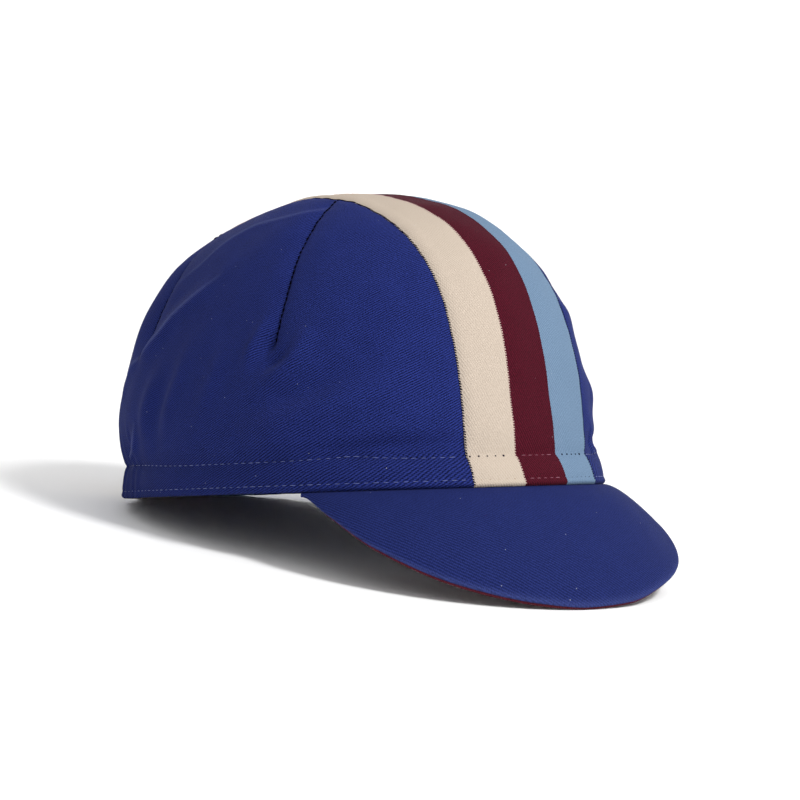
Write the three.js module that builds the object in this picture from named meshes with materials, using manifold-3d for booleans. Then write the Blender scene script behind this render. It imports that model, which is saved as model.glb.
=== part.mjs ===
// Cycling cap: five crown pieces and a two-layer peak. Millimetres, +Z up, peak towards -Y.
// The cap is shaped upright on its rim plane, then leaned onto the back of its hem and its peak.
import * as THREE from "three";
import Module from "manifold-3d";

// Crown sizes. The rim's half length and half width set the head size.
const RIM_HALF_LENGTH = 98;
const RIM_HALF_WIDTH = 77;
const CROWN_HEIGHT = 111;
const HEM_HEIGHT = 12;
const FRONT_FULLNESS = 0.07;
const STRIP_WIDTH = 66;
const CLOTH = 1.2;
const HEM_WALL = 2.2;
const GAP = 0.3;

// Peak sizes. The peak turns with the rim and curves down from it.
const PEAK_HALF_SPAN = 64;
const PEAK_REACH = 30;
const PEAK_DROP = 43;
const PEAK_FAN = 0.8;
const PEAK_CURVE = 1.6;
const PEAK_TOP_WALL = 1.2;
const PEAK_UNDER_WALL = 1.1;

// Relief sizes: how deep and how wide the darts, folds and gathers are.
const DART_DEPTH = 0.9;
const DART_SPREAD = 5;
const GROOVE_DEPTH = 0.6;
const GROOVE_WIDTH = 1.3;
const FOLD_HEIGHT = 1;
const FOLD_SPREAD = 6;
const SEAM_DEPTH = 0.5;
const SEAM_SPREAD = 4;
const GATHER_DEPTH = 0.7;
const GATHERS_ROUND = 27;
const GATHER_FROM = 112;
const GATHER_FADE = 20;

// The soft hem gives by this much where it rests.
const SETTLE = 1;

// Horizontal sections. rise is a share of the crown height, long and shift of the rim's
// half length, wide of its half width; square turns the oval towards a rounded box.
const RIM_SECTION = { rise: 0, long: 1, wide: 1, shift: -0.012, square: 0.08 };
const SECTIONS = [
  { rise: HEM_HEIGHT / CROWN_HEIGHT, long: 0.955, wide: 1.0, shift: 0, square: 0.07 },
  { rise: 0.28, long: 0.957, wide: 0.985, shift: 0.027, square: 0.11 },
  { rise: 0.46, long: 0.925, wide: 0.925, shift: 0.022, square: 0.1 },
  { rise: 0.64, long: 0.845, wide: 0.835, shift: 0.005, square: 0.09 },
  { rise: 0.8, long: 0.712, wide: 0.71, shift: -0.008, square: 0 },
  { rise: 0.915, long: 0.475, wide: 0.545, shift: -0.05, square: -0.02 },
  { rise: 0.98, long: 0.205, wide: 0.335, shift: -0.06, square: -0.02 },
  { rise: 1, long: 0, wide: 0, shift: -0.02, square: 0 },
];

// Half width of the striped strip: ahead is a share of the rim's half length, width of the strip.
const STRIP_EDGE = [
  { ahead: 0, width: 0.71 },
  { ahead: 0.3, width: 0.76 },
  { ahead: 0.55, width: 0.82 },
  { ahead: 0.75, width: 0.88 },
  { ahead: 0.9, width: 0.93 },
  { ahead: 0.95, width: 0.965 },
  { ahead: 1, width: 1 },
  { ahead: 1.4, width: 1 },
];

// Peak outline: along is a share of the half span, reach and drop of the peak's own sizes.
const PEAK_OUTLINE = [
  { along: 0, reach: 1, drop: 1 },
  { along: 0.25, reach: 0.99, drop: 0.97 },
  { along: 0.5, reach: 0.91, drop: 0.82 },
  { along: 0.75, reach: 0.66, drop: 0.47 },
  { along: 0.9, reach: 0.32, drop: 0.18 },
  { along: 1, reach: 0.05, drop: 0.03 },
];

// Darts run down from the strip's seam: turn in degrees from the front, rise a share of the height.
const FRONT_DART = [
  { turn: 53, rise: 0.968 },
  { turn: 58, rise: 0.945 },
  { turn: 64, rise: 0.887 },
  { turn: 68, rise: 0.78 },
  { turn: 70, rise: 0.66 },
  { turn: 71, rise: 0.56 },
  { turn: 72, rise: 0.49 },
];
const REAR_DART = [
  { turn: 140, rise: 0.885 },
  { turn: 132, rise: 0.83 },
  { turn: 125, rise: 0.76 },
  { turn: 121, rise: 0.7 },
  { turn: 119, rise: 0.62 },
  { turn: 118.5, rise: 0.54 },
  { turn: 120, rise: 0.475 },
];

// Soft folds and dents, each a line on the crown; height is a share of the fold height.
const FOLDS = [
  {
    height: 0.8,
    line: [
      { turn: 88, rise: 0.9 },
      { turn: 104, rise: 0.78 },
      { turn: 113, rise: 0.72 },
    ],
  },
  {
    height: 0.9,
    line: [
      { turn: 124, rise: 0.56 },
      { turn: 127, rise: 0.48 },
      { turn: 134, rise: 0.38 },
    ],
  },
  {
    height: 0.8,
    line: [
      { turn: 103, rise: 0.68 },
      { turn: 109, rise: 0.6 },
      { turn: 112, rise: 0.5 },
    ],
  },
  {
    height: -1.2,
    line: [
      { turn: 72, rise: 0.45 },
      { turn: 73, rise: 0.41 },
    ],
  },
  {
    height: 0.9,
    line: [
      { turn: 62, rise: 0.46 },
      { turn: 52, rise: 0.31 },
      { turn: 44, rise: 0.2 },
    ],
  },
];

// Mesh fineness.
const FRONT_STEP = 7;
const BACK_STEP = 3.4;
const HEM_ROWS = 2;
const DOME_ROWS = 16;
const PEAK_COLUMNS = 26;
const PEAK_ROWS = 6;
const DART_STEPS = 16;
const MESH_TOLERANCE = 0.08;

const wasm = await Module();
wasm.setup();
const { Manifold, Mesh } = wasm;
const rad = THREE.MathUtils.degToRad;

// One Catmull-Rom value between four.
function blend(a, b, c, d, u) {
  const cubic = (3 * b - a - 3 * c + d) * u * u * u;
  return 0.5 * (2 * b + (c - a) * u + (2 * a - 5 * b + 4 * c - d) * u * u + cubic);
}

// Value of a table column at x, with smooth joins and no overshoot.
function column(table, at, key, x) {
  const last = table.length - 1;
  if (x <= table[0][at]) return table[0][key];
  if (x >= table[last][at]) return table[last][key];
  let i = 0;
  while (x > table[i + 1][at]) i++;
  const slope = (k) => (table[k + 1][key] - table[k][key]) / (table[k + 1][at] - table[k][at]);
  const tangent = (k) => {
    if (k === 0) return at === "turn" ? slope(0) : 0;
    if (k === last) return slope(last - 1);
    const before = slope(k - 1);
    const after = slope(k);
    return before * after <= 0 ? 0 : (2 * before * after) / (before + after);
  };
  const h = table[i + 1][at] - table[i][at];
  const u = (x - table[i][at]) / h;
  const rise = u * u * (3 - 2 * u);
  const low = u * (1 - u) * (1 - u) * h * tangent(i);
  const high = u * u * (u - 1) * h * tangent(i + 1);
  return table[i][key] * (1 - rise) + table[i + 1][key] * rise + low + high;
}

// The section at a level: -1 is the rim, 0 the hem's top, and each further whole number a row.
function section(level) {
  const out = {};
  if (level < 0) {
    for (const key of Object.keys(RIM_SECTION)) {
      out[key] = SECTIONS[0][key] * (1 + level) - RIM_SECTION[key] * level;
    }
    return out;
  }
  const last = SECTIONS.length - 1;
  const i = Math.min(Math.floor(level), last - 1);
  for (const key of Object.keys(RIM_SECTION)) {
    const flips = key === "rise" || key === "shift" ? 1 : -1;
    const before = i > 0 ? SECTIONS[i - 1][key] : 2 * SECTIONS[0][key] - SECTIONS[1][key];
    const after = i + 2 <= last ? SECTIONS[i + 2][key] : flips * SECTIONS[last - 1][key];
    out[key] = blend(before, SECTIONS[i][key], SECTIONS[i + 1][key], after, level - i);
  }
  return out;
}

// A point of the smooth crown; turn is in radians from the front, towards the wearer's left.
function crownPoint(turn, level) {
  const s = section(level);
  const power = (v) => Math.sign(v) * Math.abs(v) ** (1 - s.square);
  const across = power(Math.sin(turn)) * (1 + FRONT_FULLNESS * Math.cos(turn));
  const along = s.shift - s.long * power(Math.cos(turn));
  return new THREE.Vector3(
    RIM_HALF_WIDTH * s.wide * across,
    RIM_HALF_LENGTH * along,
    CROWN_HEIGHT * s.rise,
  );
}

// The outward direction of the smooth crown.
function crownNormal(turn, level) {
  const top = SECTIONS.length - 1;
  if (level > top - 0.01) return new THREE.Vector3(0, 0, 1);
  const step = 0.004;
  const round = crownPoint(turn + step, level).sub(crownPoint(turn - step, level));
  const low = Math.max(level - step, -1);
  const high = Math.min(level + step, top);
  const up = crownPoint(turn, high).sub(crownPoint(turn, low));
  return round.cross(up).normalize();
}

// The level at which the crown reaches a share of its height.
function levelAt(rise) {
  let low = 0;
  let high = SECTIONS.length - 1;
  for (let i = 0; i < 30; i++) {
    const middle = (low + high) / 2;
    if (section(middle).rise < rise) low = middle;
    else high = middle;
  }
  return low;
}

// Points of a dart or fold on the wearer's left, at even steps along its table.
function tracePath(table, steps) {
  const rows = table.map((row, i) => ({ ...row, share: i / (table.length - 1) }));
  const path = [];
  for (let i = 0; i <= steps; i++) {
    const turn = rad(column(rows, "share", "turn", i / steps));
    const level = levelAt(column(rows, "share", "rise", i / steps));
    path.push({ turn, level, point: crownPoint(turn, level) });
  }
  return path;
}

const RELIEF_LINES = [
  { height: -DART_DEPTH, spread: DART_SPREAD, path: tracePath(FRONT_DART, 8) },
  { height: -DART_DEPTH, spread: DART_SPREAD, path: tracePath(REAR_DART, 8) },
  ...FOLDS.map((fold) => ({
    height: fold.height * FOLD_HEIGHT,
    spread: FOLD_SPREAD,
    path: tracePath(fold.line, 4),
  })),
];

// Half width of the strip at a distance ahead of or behind the crown's middle.
function stripHalfWidth(y) {
  const ahead = Math.abs(y) / RIM_HALF_LENGTH;
  return (STRIP_WIDTH / 2) * column(STRIP_EDGE, "ahead", "width", ahead);
}

// Height of darts, folds, seams and gathers above the smooth crown.
function relief(point, turn) {
  const side = new THREE.Vector3(Math.abs(point.x), point.y, point.z);
  let height = 0;
  for (const line of RELIEF_LINES) {
    let nearest = Infinity;
    for (let i = 0; i + 1 < line.path.length; i++) {
      const piece = new THREE.Line3(line.path[i].point, line.path[i + 1].point);
      const foot = piece.closestPointToPoint(side, true, new THREE.Vector3());
      nearest = Math.min(nearest, foot.distanceTo(side));
    }
    height += line.height * Math.exp(-((nearest / line.spread) ** 2));
  }
  const fromSeam = Math.abs(side.x - stripHalfWidth(point.y));
  if (point.z > HEM_HEIGHT) height -= SEAM_DEPTH * Math.exp(-((fromSeam / SEAM_SPREAD) ** 2));
  const back = Math.abs(THREE.MathUtils.euclideanModulo(turn + Math.PI, 2 * Math.PI) - Math.PI);
  const inside = THREE.MathUtils.smoothstep(back, rad(GATHER_FROM), rad(GATHER_FROM + 14));
  const low = 1 - THREE.MathUtils.smoothstep(point.z, HEM_HEIGHT, HEM_HEIGHT + GATHER_FADE);
  return height + GATHER_DEPTH * inside * low * Math.cos(GATHERS_ROUND * back);
}

// A closed solid from rings of points. Each ring has the same count; a pole closes each open end.
function solidFromRings(rings, poles) {
  const count = rings[0].length;
  const points = rings.flat();
  const faces = [];
  for (let r = 0; r + 1 < rings.length; r++) {
    for (let c = 0; c < count; c++) {
      const d = (c + 1) % count;
      const a = r * count;
      const b = a + count;
      faces.push(a + c, a + d, b + d, a + c, b + d, b + c);
    }
  }
  const first = points.push(poles[0]) - 1;
  const last = points.push(poles[1]) - 1;
  const end = (rings.length - 1) * count;
  for (let c = 0; c < count; c++) {
    const d = (c + 1) % count;
    faces.push(first, d, c, last, end + c, end + d);
  }
  const vertProperties = new Float32Array(points.flatMap((p) => [p.x, p.y, p.z]));
  const made = new Manifold(new Mesh({ numProp: 3, vertProperties, triVerts: new Uint32Array(faces) }));
  if (made.volume() < 0) throw new Error("rings wound the wrong way");
  return made;
}

// Column angles round the crown, closer together where the hem is gathered.
function columnTurns() {
  const turns = [];
  for (let t = 0; t < GATHER_FROM; t += FRONT_STEP) turns.push(t);
  const steps = Math.round((180 - GATHER_FROM) / BACK_STEP);
  for (let i = 0; i <= steps; i++) turns.push(GATHER_FROM + ((180 - GATHER_FROM) * i) / steps);
  const mirrored = turns.slice(1, -1).map((t) => -t).reverse();
  return [...turns, ...mirrored].map(rad);
}

// The whole crown as one bowl of cloth, thicker in the hem.
function crownShell() {
  const turns = columnTurns();
  const top = SECTIONS.length - 1;
  const hem = Array.from({ length: HEM_ROWS + 1 }, (_, i) => i / HEM_ROWS - 1);
  const dome = Array.from({ length: DOME_ROWS - 1 }, (_, i) => (top * (i + 1)) / DOME_ROWS);
  const ring = (level, depth) =>
    turns.map((turn) => {
      const base = crownPoint(turn, level);
      const out = crownNormal(turn, level).multiplyScalar(relief(base, turn) - depth);
      const made = base.clone().add(out);
      if (level === -1) made.z = 0;
      return made;
    });
  const outer = [...hem, ...dome].map((level) => ring(level, 0));
  const inner = [...dome.map((level) => ring(level, CLOTH)).reverse()];
  inner.push(ring(0.12, CLOTH), ring(0, HEM_WALL), ring(-0.5, HEM_WALL), ring(-1, HEM_WALL));
  const apex = crownPoint(0, top);
  const under = apex.clone().setZ(apex.z - CLOTH);
  // The bowl is outer rings, apex, inner rings; the rim band joins the last ring to the first.
  const points = [...outer.flat(), apex, ...inner.flat(), under];
  const count = turns.length;
  const faces = [];
  const band = (a, b) => {
    for (let c = 0; c < count; c++) {
      const d = (c + 1) % count;
      faces.push(a + c, a + d, b + d, a + c, b + d, b + c);
    }
  };
  const apexAt = outer.length * count;
  const innerAt = apexAt + 1;
  const underAt = innerAt + inner.length * count;
  for (let r = 0; r + 1 < outer.length; r++) band(r * count, (r + 1) * count);
  for (let r = 0; r + 1 < inner.length; r++) band(innerAt + r * count, innerAt + (r + 1) * count);
  band(underAt - count, 0);
  for (let c = 0; c < count; c++) {
    const d = (c + 1) % count;
    faces.push(apexAt - count + c, apexAt - count + d, apexAt);
    faces.push(innerAt + d, innerAt + c, underAt);
  }
  const vertProperties = new Float32Array(points.flatMap((p) => [p.x, p.y, p.z]));
  return new Manifold(new Mesh({ numProp: 3, vertProperties, triVerts: new Uint32Array(faces) }));
}

// An upright cutter between two lines seen from above; a line is a signed share of the strip.
function cutter(fromShare, toShare) {
  const reach = 1.3 * RIM_HALF_LENGTH;
  const step = reach / 20;
  const edge = (share, y, inward) => {
    if (Math.abs(share) > 1) return Math.sign(share) * 1.5 * RIM_HALF_WIDTH;
    return share * stripHalfWidth(y) + (inward * GAP) / 2;
  };
  const outline = [];
  for (let i = -20; i <= 20; i++) outline.push([edge(toShare, i * step, -1), i * step]);
  for (let i = 20; i >= -20; i--) outline.push([edge(fromShare, i * step, 1), i * step]);
  return Manifold.extrude([outline], 2 * CROWN_HEIGHT).translate([0, 0, -CROWN_HEIGHT / 2]);
}

// Stitched dart seam: a narrow groove cut into the cloth along a path. side is -1 or 1.
function grooveCutter(table, side, surface) {
  const ray = new THREE.Raycaster();
  const path = tracePath(table, DART_STEPS).map((p) => {
    const out = crownNormal(p.turn, p.level);
    ray.set(p.point.clone().addScaledVector(out, 10), out.clone().negate());
    const hit = ray.intersectObject(surface)[0];
    return { point: hit.point, out };
  });
  const rings = path.map((p, i) => {
    const ahead = path[Math.min(i + 1, path.length - 1)].point;
    const behind = path[Math.max(i - 1, 0)].point;
    const across = ahead.clone().sub(behind).cross(p.out).setLength(GROOVE_WIDTH);
    const ends = i === 0 || i === path.length - 1;
    const depth = ends ? GROOVE_DEPTH / 3 : GROOVE_DEPTH;
    const ring = [
      p.point.clone().addScaledVector(p.out, GROOVE_DEPTH).add(across),
      p.point.clone().addScaledVector(p.out, -depth),
      p.point.clone().addScaledVector(p.out, GROOVE_DEPTH).sub(across),
    ];
    if (side < 0) {
      for (const q of ring) q.x = -q.x;
      ring.reverse();
    }
    return ring;
  });
  const middle = (ring) => ring[0].clone().add(ring[1]).add(ring[2]).divideScalar(3);
  return solidFromRings(rings, [middle(rings[0]), middle(rings[rings.length - 1])]);
}

// A point of the peak's top surface: along runs -1 to 1 across, out 0 at the rim to 1 at the edge.
function peakPoint(along, out) {
  const turn = rad(PEAK_HALF_SPAN * along);
  const inset = crownNormal(turn, -1).setZ(0).setLength(HEM_WALL / 2);
  const root = crownPoint(turn, -1).sub(inset);
  const reach = out * PEAK_REACH * column(PEAK_OUTLINE, "along", "reach", Math.abs(along));
  const fall = PEAK_DROP * column(PEAK_OUTLINE, "along", "drop", Math.abs(along));
  const heading = turn * PEAK_FAN;
  return root.add(
    new THREE.Vector3(
      Math.sin(heading) * reach,
      -Math.cos(heading) * reach,
      -GAP - fall * out ** PEAK_CURVE,
    ),
  );
}

// The upward direction of the peak's top surface.
function peakNormal(along, out) {
  const step = 0.01;
  const across = peakPoint(along + step, out).sub(peakPoint(along - step, out));
  const outward = peakPoint(along, out + step).sub(peakPoint(along, Math.max(out - step, 0)));
  return outward.cross(across).normalize();
}

// One layer of the peak, between two depths under its top surface.
function peakLayer(fromDepth, toDepth) {
  const rings = [];
  for (let c = 0; c <= PEAK_COLUMNS; c++) {
    const along = 0.998 * Math.sin((Math.PI / 2) * (-1 + (2 * c) / PEAK_COLUMNS));
    const above = [];
    const below = [];
    for (let r = 0; r <= PEAK_ROWS; r++) {
      const out = r / PEAK_ROWS;
      const down = peakNormal(along, Math.max(out, 0.05)).negate();
      if (r === 0) down.set(0, 0, -1);
      const base = peakPoint(along, out);
      above.push(base.clone().addScaledVector(down, fromDepth));
      below.push(base.clone().addScaledVector(down, toDepth));
    }
    rings.push([...above, ...below.reverse()]);
  }
  const middle = (ring) => {
    const sum = new THREE.Vector3();
    for (const p of ring) sum.add(p);
    return sum.divideScalar(ring.length);
  };
  return solidFromRings(rings, [middle(rings[0]), middle(rings[rings.length - 1])]);
}

// Lowest height of a solid's points when the cap is leaned back by an angle.
function lowest(solid, lean) {
  const { vertProperties } = solid.getMesh();
  let low = Infinity;
  for (let i = 0; i < vertProperties.length; i += 3) {
    const z = vertProperties[i + 2] * Math.cos(lean) - vertProperties[i + 1] * Math.sin(lean);
    low = Math.min(low, z);
  }
  return low;
}

// The lean at which the settled hem and the peak's edge touch the ground together.
function restLean(crown, peak) {
  let low = 0;
  let high = 0.5;
  for (let i = 0; i < 30; i++) {
    const middle = (low + high) / 2;
    if (lowest(peak, middle) < lowest(crown, middle) + SETTLE) low = middle;
    else high = middle;
  }
  return low;
}

function geometryOf(solid) {
  const mesh = solid.getMesh();
  const geometry = new THREE.BufferGeometry();
  geometry.setAttribute("position", new THREE.BufferAttribute(mesh.vertProperties.slice(), 3));
  geometry.setIndex(new THREE.BufferAttribute(mesh.triVerts.slice(), 1));
  return geometry;
}

function buildCap() {
  const crown = crownShell();
  const surface = new THREE.Mesh(geometryOf(crown));
  const dartsOf = (side) => [
    grooveCutter(FRONT_DART, side, surface),
    grooveCutter(REAR_DART, side, surface),
  ];
  const third = 1 / 3;
  const top = peakLayer(0, PEAK_TOP_WALL);
  const under = peakLayer(PEAK_TOP_WALL + GAP, PEAK_TOP_WALL + GAP + PEAK_UNDER_WALL);
  const solids = {
    panel_right: crown.intersect(cutter(-2, -1)).subtract(Manifold.union(dartsOf(-1))),
    panel_left: crown.intersect(cutter(1, 2)).subtract(Manifold.union(dartsOf(1))),
    stripe_cream: crown.intersect(cutter(-1, -third)),
    stripe_maroon: crown.intersect(cutter(-third, third)),
    stripe_sky: crown.intersect(cutter(third, 1)),
    peak_top: top,
    peak_underside: under,
  };
  const lean = restLean(crown, Manifold.union([top, under]));
  const leanDegrees = -THREE.MathUtils.radToDeg(lean);
  const lift = -(lowest(crown, lean) + SETTLE);
  for (const name of Object.keys(solids)) {
    const leaned = solids[name].rotate([leanDegrees, 0, 0]).translate([0, 0, lift]);
    const trimmed = leaned.trimByPlane([0, 0, 1], 0);
    solids[name] = name.startsWith("peak") ? trimmed : trimmed.simplify(MESH_TOLERANCE);
  }
  const boxes = Object.values(solids).map((s) => s.boundingBox());
  const front = Math.min(...boxes.map((b) => b.min[1]));
  const back = Math.max(...boxes.map((b) => b.max[1]));
  const colours = {
    panel_right: 0x222c67,
    panel_left: 0x222c67,
    stripe_cream: 0xddcebd,
    stripe_maroon: 0x5c202e,
    stripe_sky: 0x8da6c1,
    peak_top: 0x27316e,
    peak_underside: 0x5c1426,
  };
  const group = new THREE.Group();
  group.name = "cycling_cap";
  for (const [name, solid] of Object.entries(solids)) {
    const geometry = geometryOf(solid.translate([0, -(front + back) / 2, 0]));
    const material = new THREE.MeshStandardMaterial({ color: colours[name], roughness: 0.9 });
    const mesh = new THREE.Mesh(geometry, material);
    mesh.name = name;
    group.add(mesh);
  }
  return group;
}

export default buildCap();
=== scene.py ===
"""Looks of the cycling cap: sewn cloth pieces, stitches, materials, light and camera."""

import logging
import math
from dataclasses import dataclass
from enum import Enum

import bpy
import numpy as np
from mathutils import Matrix, Vector
from mathutils.bvhtree import BVHTree

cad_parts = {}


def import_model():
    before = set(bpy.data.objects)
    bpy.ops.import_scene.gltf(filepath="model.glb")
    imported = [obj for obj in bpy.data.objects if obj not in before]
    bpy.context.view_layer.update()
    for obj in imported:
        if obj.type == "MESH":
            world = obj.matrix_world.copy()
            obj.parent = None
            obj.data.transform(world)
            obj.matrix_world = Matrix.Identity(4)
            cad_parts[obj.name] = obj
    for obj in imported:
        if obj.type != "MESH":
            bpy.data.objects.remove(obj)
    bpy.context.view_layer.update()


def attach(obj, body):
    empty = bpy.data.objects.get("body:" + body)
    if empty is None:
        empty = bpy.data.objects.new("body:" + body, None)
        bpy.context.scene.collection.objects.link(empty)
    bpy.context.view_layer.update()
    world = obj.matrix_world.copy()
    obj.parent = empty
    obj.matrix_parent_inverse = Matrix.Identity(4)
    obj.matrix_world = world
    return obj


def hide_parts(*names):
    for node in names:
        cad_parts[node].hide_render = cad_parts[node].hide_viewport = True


LOG = logging.getLogger("cap")
MM = 0.001
TAU = 2 * math.pi


# Sizes and tables


@dataclass(frozen=True)
class CapSizes:
    """The CAD's named sizes, in millimetres and degrees, and the lean it rests at."""

    rim_half_length: float = 98.0
    rim_half_width: float = 77.0
    crown_height: float = 111.0
    hem_height: float = 12.0
    front_fullness: float = 0.07
    strip_width: float = 66.0
    cloth: float = 1.2
    hem_wall: float = 2.2
    peak_half_span: float = 65.0
    peak_reach: float = 30.0
    peak_drop: float = 43.0
    peak_fan: float = 0.8
    peak_curve: float = 1.6
    peak_top_wall: float = 1.2
    peak_gap: float = 0.3
    peak_under_wall: float = 1.1
    lean_deg: float = 11.52
    lift: float = 18.344
    forward: float = 16.285


# rise, long, wide, shift, square: the horizontal sections, as in the CAD.
RIM_SECTION = (0.0, 1.0, 1.0, -0.012, 0.08)
SECTIONS = (
    (12 / 111, 0.955, 1.0, 0.0, 0.07),
    (0.28, 0.957, 0.985, 0.027, 0.11),
    (0.46, 0.925, 0.925, 0.022, 0.1),
    (0.64, 0.845, 0.835, 0.005, 0.09),
    (0.8, 0.712, 0.71, -0.008, 0.0),
    (0.915, 0.475, 0.545, -0.05, -0.02),
    (0.98, 0.205, 0.335, -0.06, -0.02),
    (1.0, 0.0, 0.0, -0.02, 0.0),
)
# distance ahead of or behind the middle, and the strip's half width there, as shares.
STRIP_EDGE = (
    (0.0, 0.71),
    (0.3, 0.76),
    (0.55, 0.82),
    (0.75, 0.88),
    (0.9, 0.93),
    (0.95, 0.965),
    (1.0, 1.0),
    (1.4, 1.0),
)
# share along the half span from the wearer's right to the left, reach and drop of the peak.
PEAK_OUTLINE = (
    (-1.0, 0.05, 0.03),
    (-0.9, 0.32, 0.175),
    (-0.75, 0.65, 0.45),
    (-0.5, 0.9, 0.775),
    (-0.25, 0.985, 0.95),
    (-0.08, 0.995, 1.0),
    (0.08, 0.985, 0.975),
    (0.25, 0.965, 0.875),
    (0.5, 0.935, 0.695),
    (0.75, 0.77, 0.39),
    (0.9, 0.34, 0.19),
    (1.0, 0.05, 0.03),
)
# height above the rim in millimetres, and how much wider the strip's front is on the left.
LEFT_FULLNESS = (
    (0.0, 1.02),
    (8.0, 1.05),
    (20.0, 1.16),
    (35.0, 1.21),
    (60.0, 1.21),
    (86.0, 1.19),
    (100.0, 1.09),
    (111.0, 1.0),
)
# how much wider the strip's back is on the wearer's right, and where it grows and ends along the cap.
RIGHT_FULLNESS = 0.07
RIGHT_GROWS = (-15, 12)
RIGHT_ENDS = (45, 80)
# how far ahead of the middle the strip's front has its whole fullness on the left, in millimetres.
LEFT_GROWS = 30
# turn in degrees from the front, and rise as a share of the crown's height.
FRONT_DART = (
    (47, 0.972),
    (54.5, 0.961),
    (60.4, 0.937),
    (63.6, 0.897),
    (65.5, 0.846),
    (67.1, 0.79),
    (68.5, 0.73),
    (69.8, 0.67),
    (70.6, 0.605),
    (71.2, 0.54),
    (72, 0.485),
)
REAR_DART = (
    (151.0, 0.93),
    (140, 0.885),
    (132, 0.83),
    (125, 0.76),
    (121, 0.7),
    (118.5, 0.62),
    (117.8, 0.54),
    (119, 0.47),
)


@dataclass(frozen=True)
class Fold:
    """A soft fold or dent along a line of the crown.

    Args:
        line: (turn, rise) points of the line.
        height: height of the fold in millimetres before FOLD_GAIN, negative for a dent.
        spread: how wide it is, in millimetres.
        crest: height of a sharp crest along it.
        wear_and_highlight: how far the crest is rubbed pale and lit with painted highlight, from 0 to 1.
        sides: which side panels have it: -1 is the wearer's right.
    """

    line: tuple
    height: float
    spread: float = 6.0
    crest: float = 0.0
    wear_and_highlight: float = 0.0
    sides: tuple = (-1, 1)


# how much higher each soft fold is built than its row says.
FOLD_GAIN = 2.2
RIGHT_ONLY = (-1,)
LEFT_ONLY = (1,)
FOLDS = (
    # creases behind the front dart and across the rear one
    Fold(
        (
            (55, 0.957), (65, 0.93), (76, 0.912), (86, 0.9),
            (97, 0.885), (105, 0.835), (110, 0.765), (118, 0.7),
        ),
        0.12, 4.0, crest=0.32, wear_and_highlight=0.6, sides=RIGHT_ONLY,
    ),
    Fold(
        ((94, 0.725), (102, 0.644), (107, 0.595), (111, 0.535), (117, 0.481), (124, 0.438), (128, 0.375)),
        0.75, 4.5, crest=0.5, wear_and_highlight=0.85, sides=RIGHT_ONLY,
    ),
    Fold(((74, 0.93), (90, 0.88), (103, 0.78), (112, 0.68)), 0.7, 6.0, crest=0.15, sides=LEFT_ONLY),
    # cloth standing full behind the rear dart
    Fold(((136, 0.8), (130, 0.7), (127, 0.6), (127, 0.5), (130, 0.4)), 0.55, 6.5),
    # the dent under the front dart, and the cloth standing round it
    Fold(((71.4, 0.53), (73, 0.48), (75.5, 0.43)), -0.6, 2.8, crest=-0.5),
    Fold(((74.4, 0.57), (76, 0.505), (77.5, 0.46), (78.5, 0.41)), 0.8, 2.8),
    Fold(((60, 0.545), (62.8, 0.477), (65.6, 0.421), (69.3, 0.377), (73.5, 0.344)), 1.0, 4.0),
    Fold(((66, 0.458), (69.8, 0.43), (74.5, 0.412)), -1.0, 2.8),
    # the slanting folds from the dart to the hem
    Fold(((48, 0.43), (55.2, 0.361), (62.9, 0.316), (72, 0.285)), -1.1, 6.0),
    Fold(((36, 0.325), (49.8, 0.294), (60.2, 0.26), (70.4, 0.217), (80, 0.17)), 1.2, 6.5),
    Fold(((21, 0.14), (33, 0.137), (42, 0.134), (51, 0.127), (61, 0.12)), -1.2, 4.0),
    Fold(((74, 0.14), (68, 0.17), (62, 0.15)), 0.6, 4.5),
    Fold(((95.7, 0.49), (97, 0.369), (101, 0.225)), 0.6, 4.0),
    Fold(((85.7, 0.48), (87.6, 0.362), (90, 0.245)), 0.6, 4.0),
    Fold(((106, 0.42), (109, 0.3), (112, 0.18)), 0.6, 4.5),
    Fold(((101, 0.4), (104, 0.28), (106, 0.17)), -0.5, 4.0),
    # the pinch at the rear of the hem
    Fold(
        ((115.8, 0.244), (119.4, 0.171), (126.3, 0.112), (126.5, 0.068), (122.4, 0.034)),
        0.35, 2.6, crest=0.45, wear_and_highlight=1.0, sides=RIGHT_ONLY,
    ),
    Fold(((121, 0.2), (124, 0.15), (131, 0.112), (132, 0.06)), -0.5, 3.0, sides=RIGHT_ONLY),
    # soft folds and dents beside the strip's front on the wearer's left
    Fold(((60, 0.125), (50, 0.128), (42, 0.13), (33, 0.13)), 0.85, 8.0, sides=LEFT_ONLY),
    Fold(((30, 0.66), (34, 0.64), (42, 0.63)), -0.5, 6.0, sides=LEFT_ONLY),
    Fold(((26, 0.57), (34, 0.57), (44, 0.56)), 0.35, 6.0, sides=LEFT_ONLY),
    Fold(((40, 0.42), (43, 0.3), (44, 0.2), (43, 0.14)), 0.3, 6.0, sides=LEFT_ONLY),
    # the bunched cloth at the front of the hem on that side, with painted highlight on its pleats' crests
    Fold(((30, 0.2), (33, 0.11), (36, 0.05), (39, 0.0)), 0.4, 1.5, crest=0.3, wear_and_highlight=0.25, sides=LEFT_ONLY),
    Fold(((37, 0.16), (40, 0.09), (43, 0.03)), 0.4, 1.6, crest=0.25, wear_and_highlight=0.2, sides=LEFT_ONLY),
    Fold(((45, 0.13), (47, 0.08), (49, 0.03)), 0.4, 1.8, crest=0.2, wear_and_highlight=0.1, sides=LEFT_ONLY),
)
# height in millimetres, number of waves round the cap, and phase of the gathers at the back.
GATHER_WAVES = ((0.75, 27, 0.0), (0.35, 61, 1.0), (0.25, 88, 0.0))


@dataclass(frozen=True)
class ClothSwell:
    """The uneven swell of the crown's cloth above the hem, in millimetres.

    Args:
        broad: height of the broad swell.
        broad_pitch: distance between its crests.
        fine: height of the fine swell.
        fine_pitch: distance between its crests.
        rise: height above the hem at which both are full.
    """

    broad: float = 0.45
    broad_pitch: float = 52
    fine: float = 0.2
    fine_pitch: float = 21
    rise: float = 10


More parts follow.
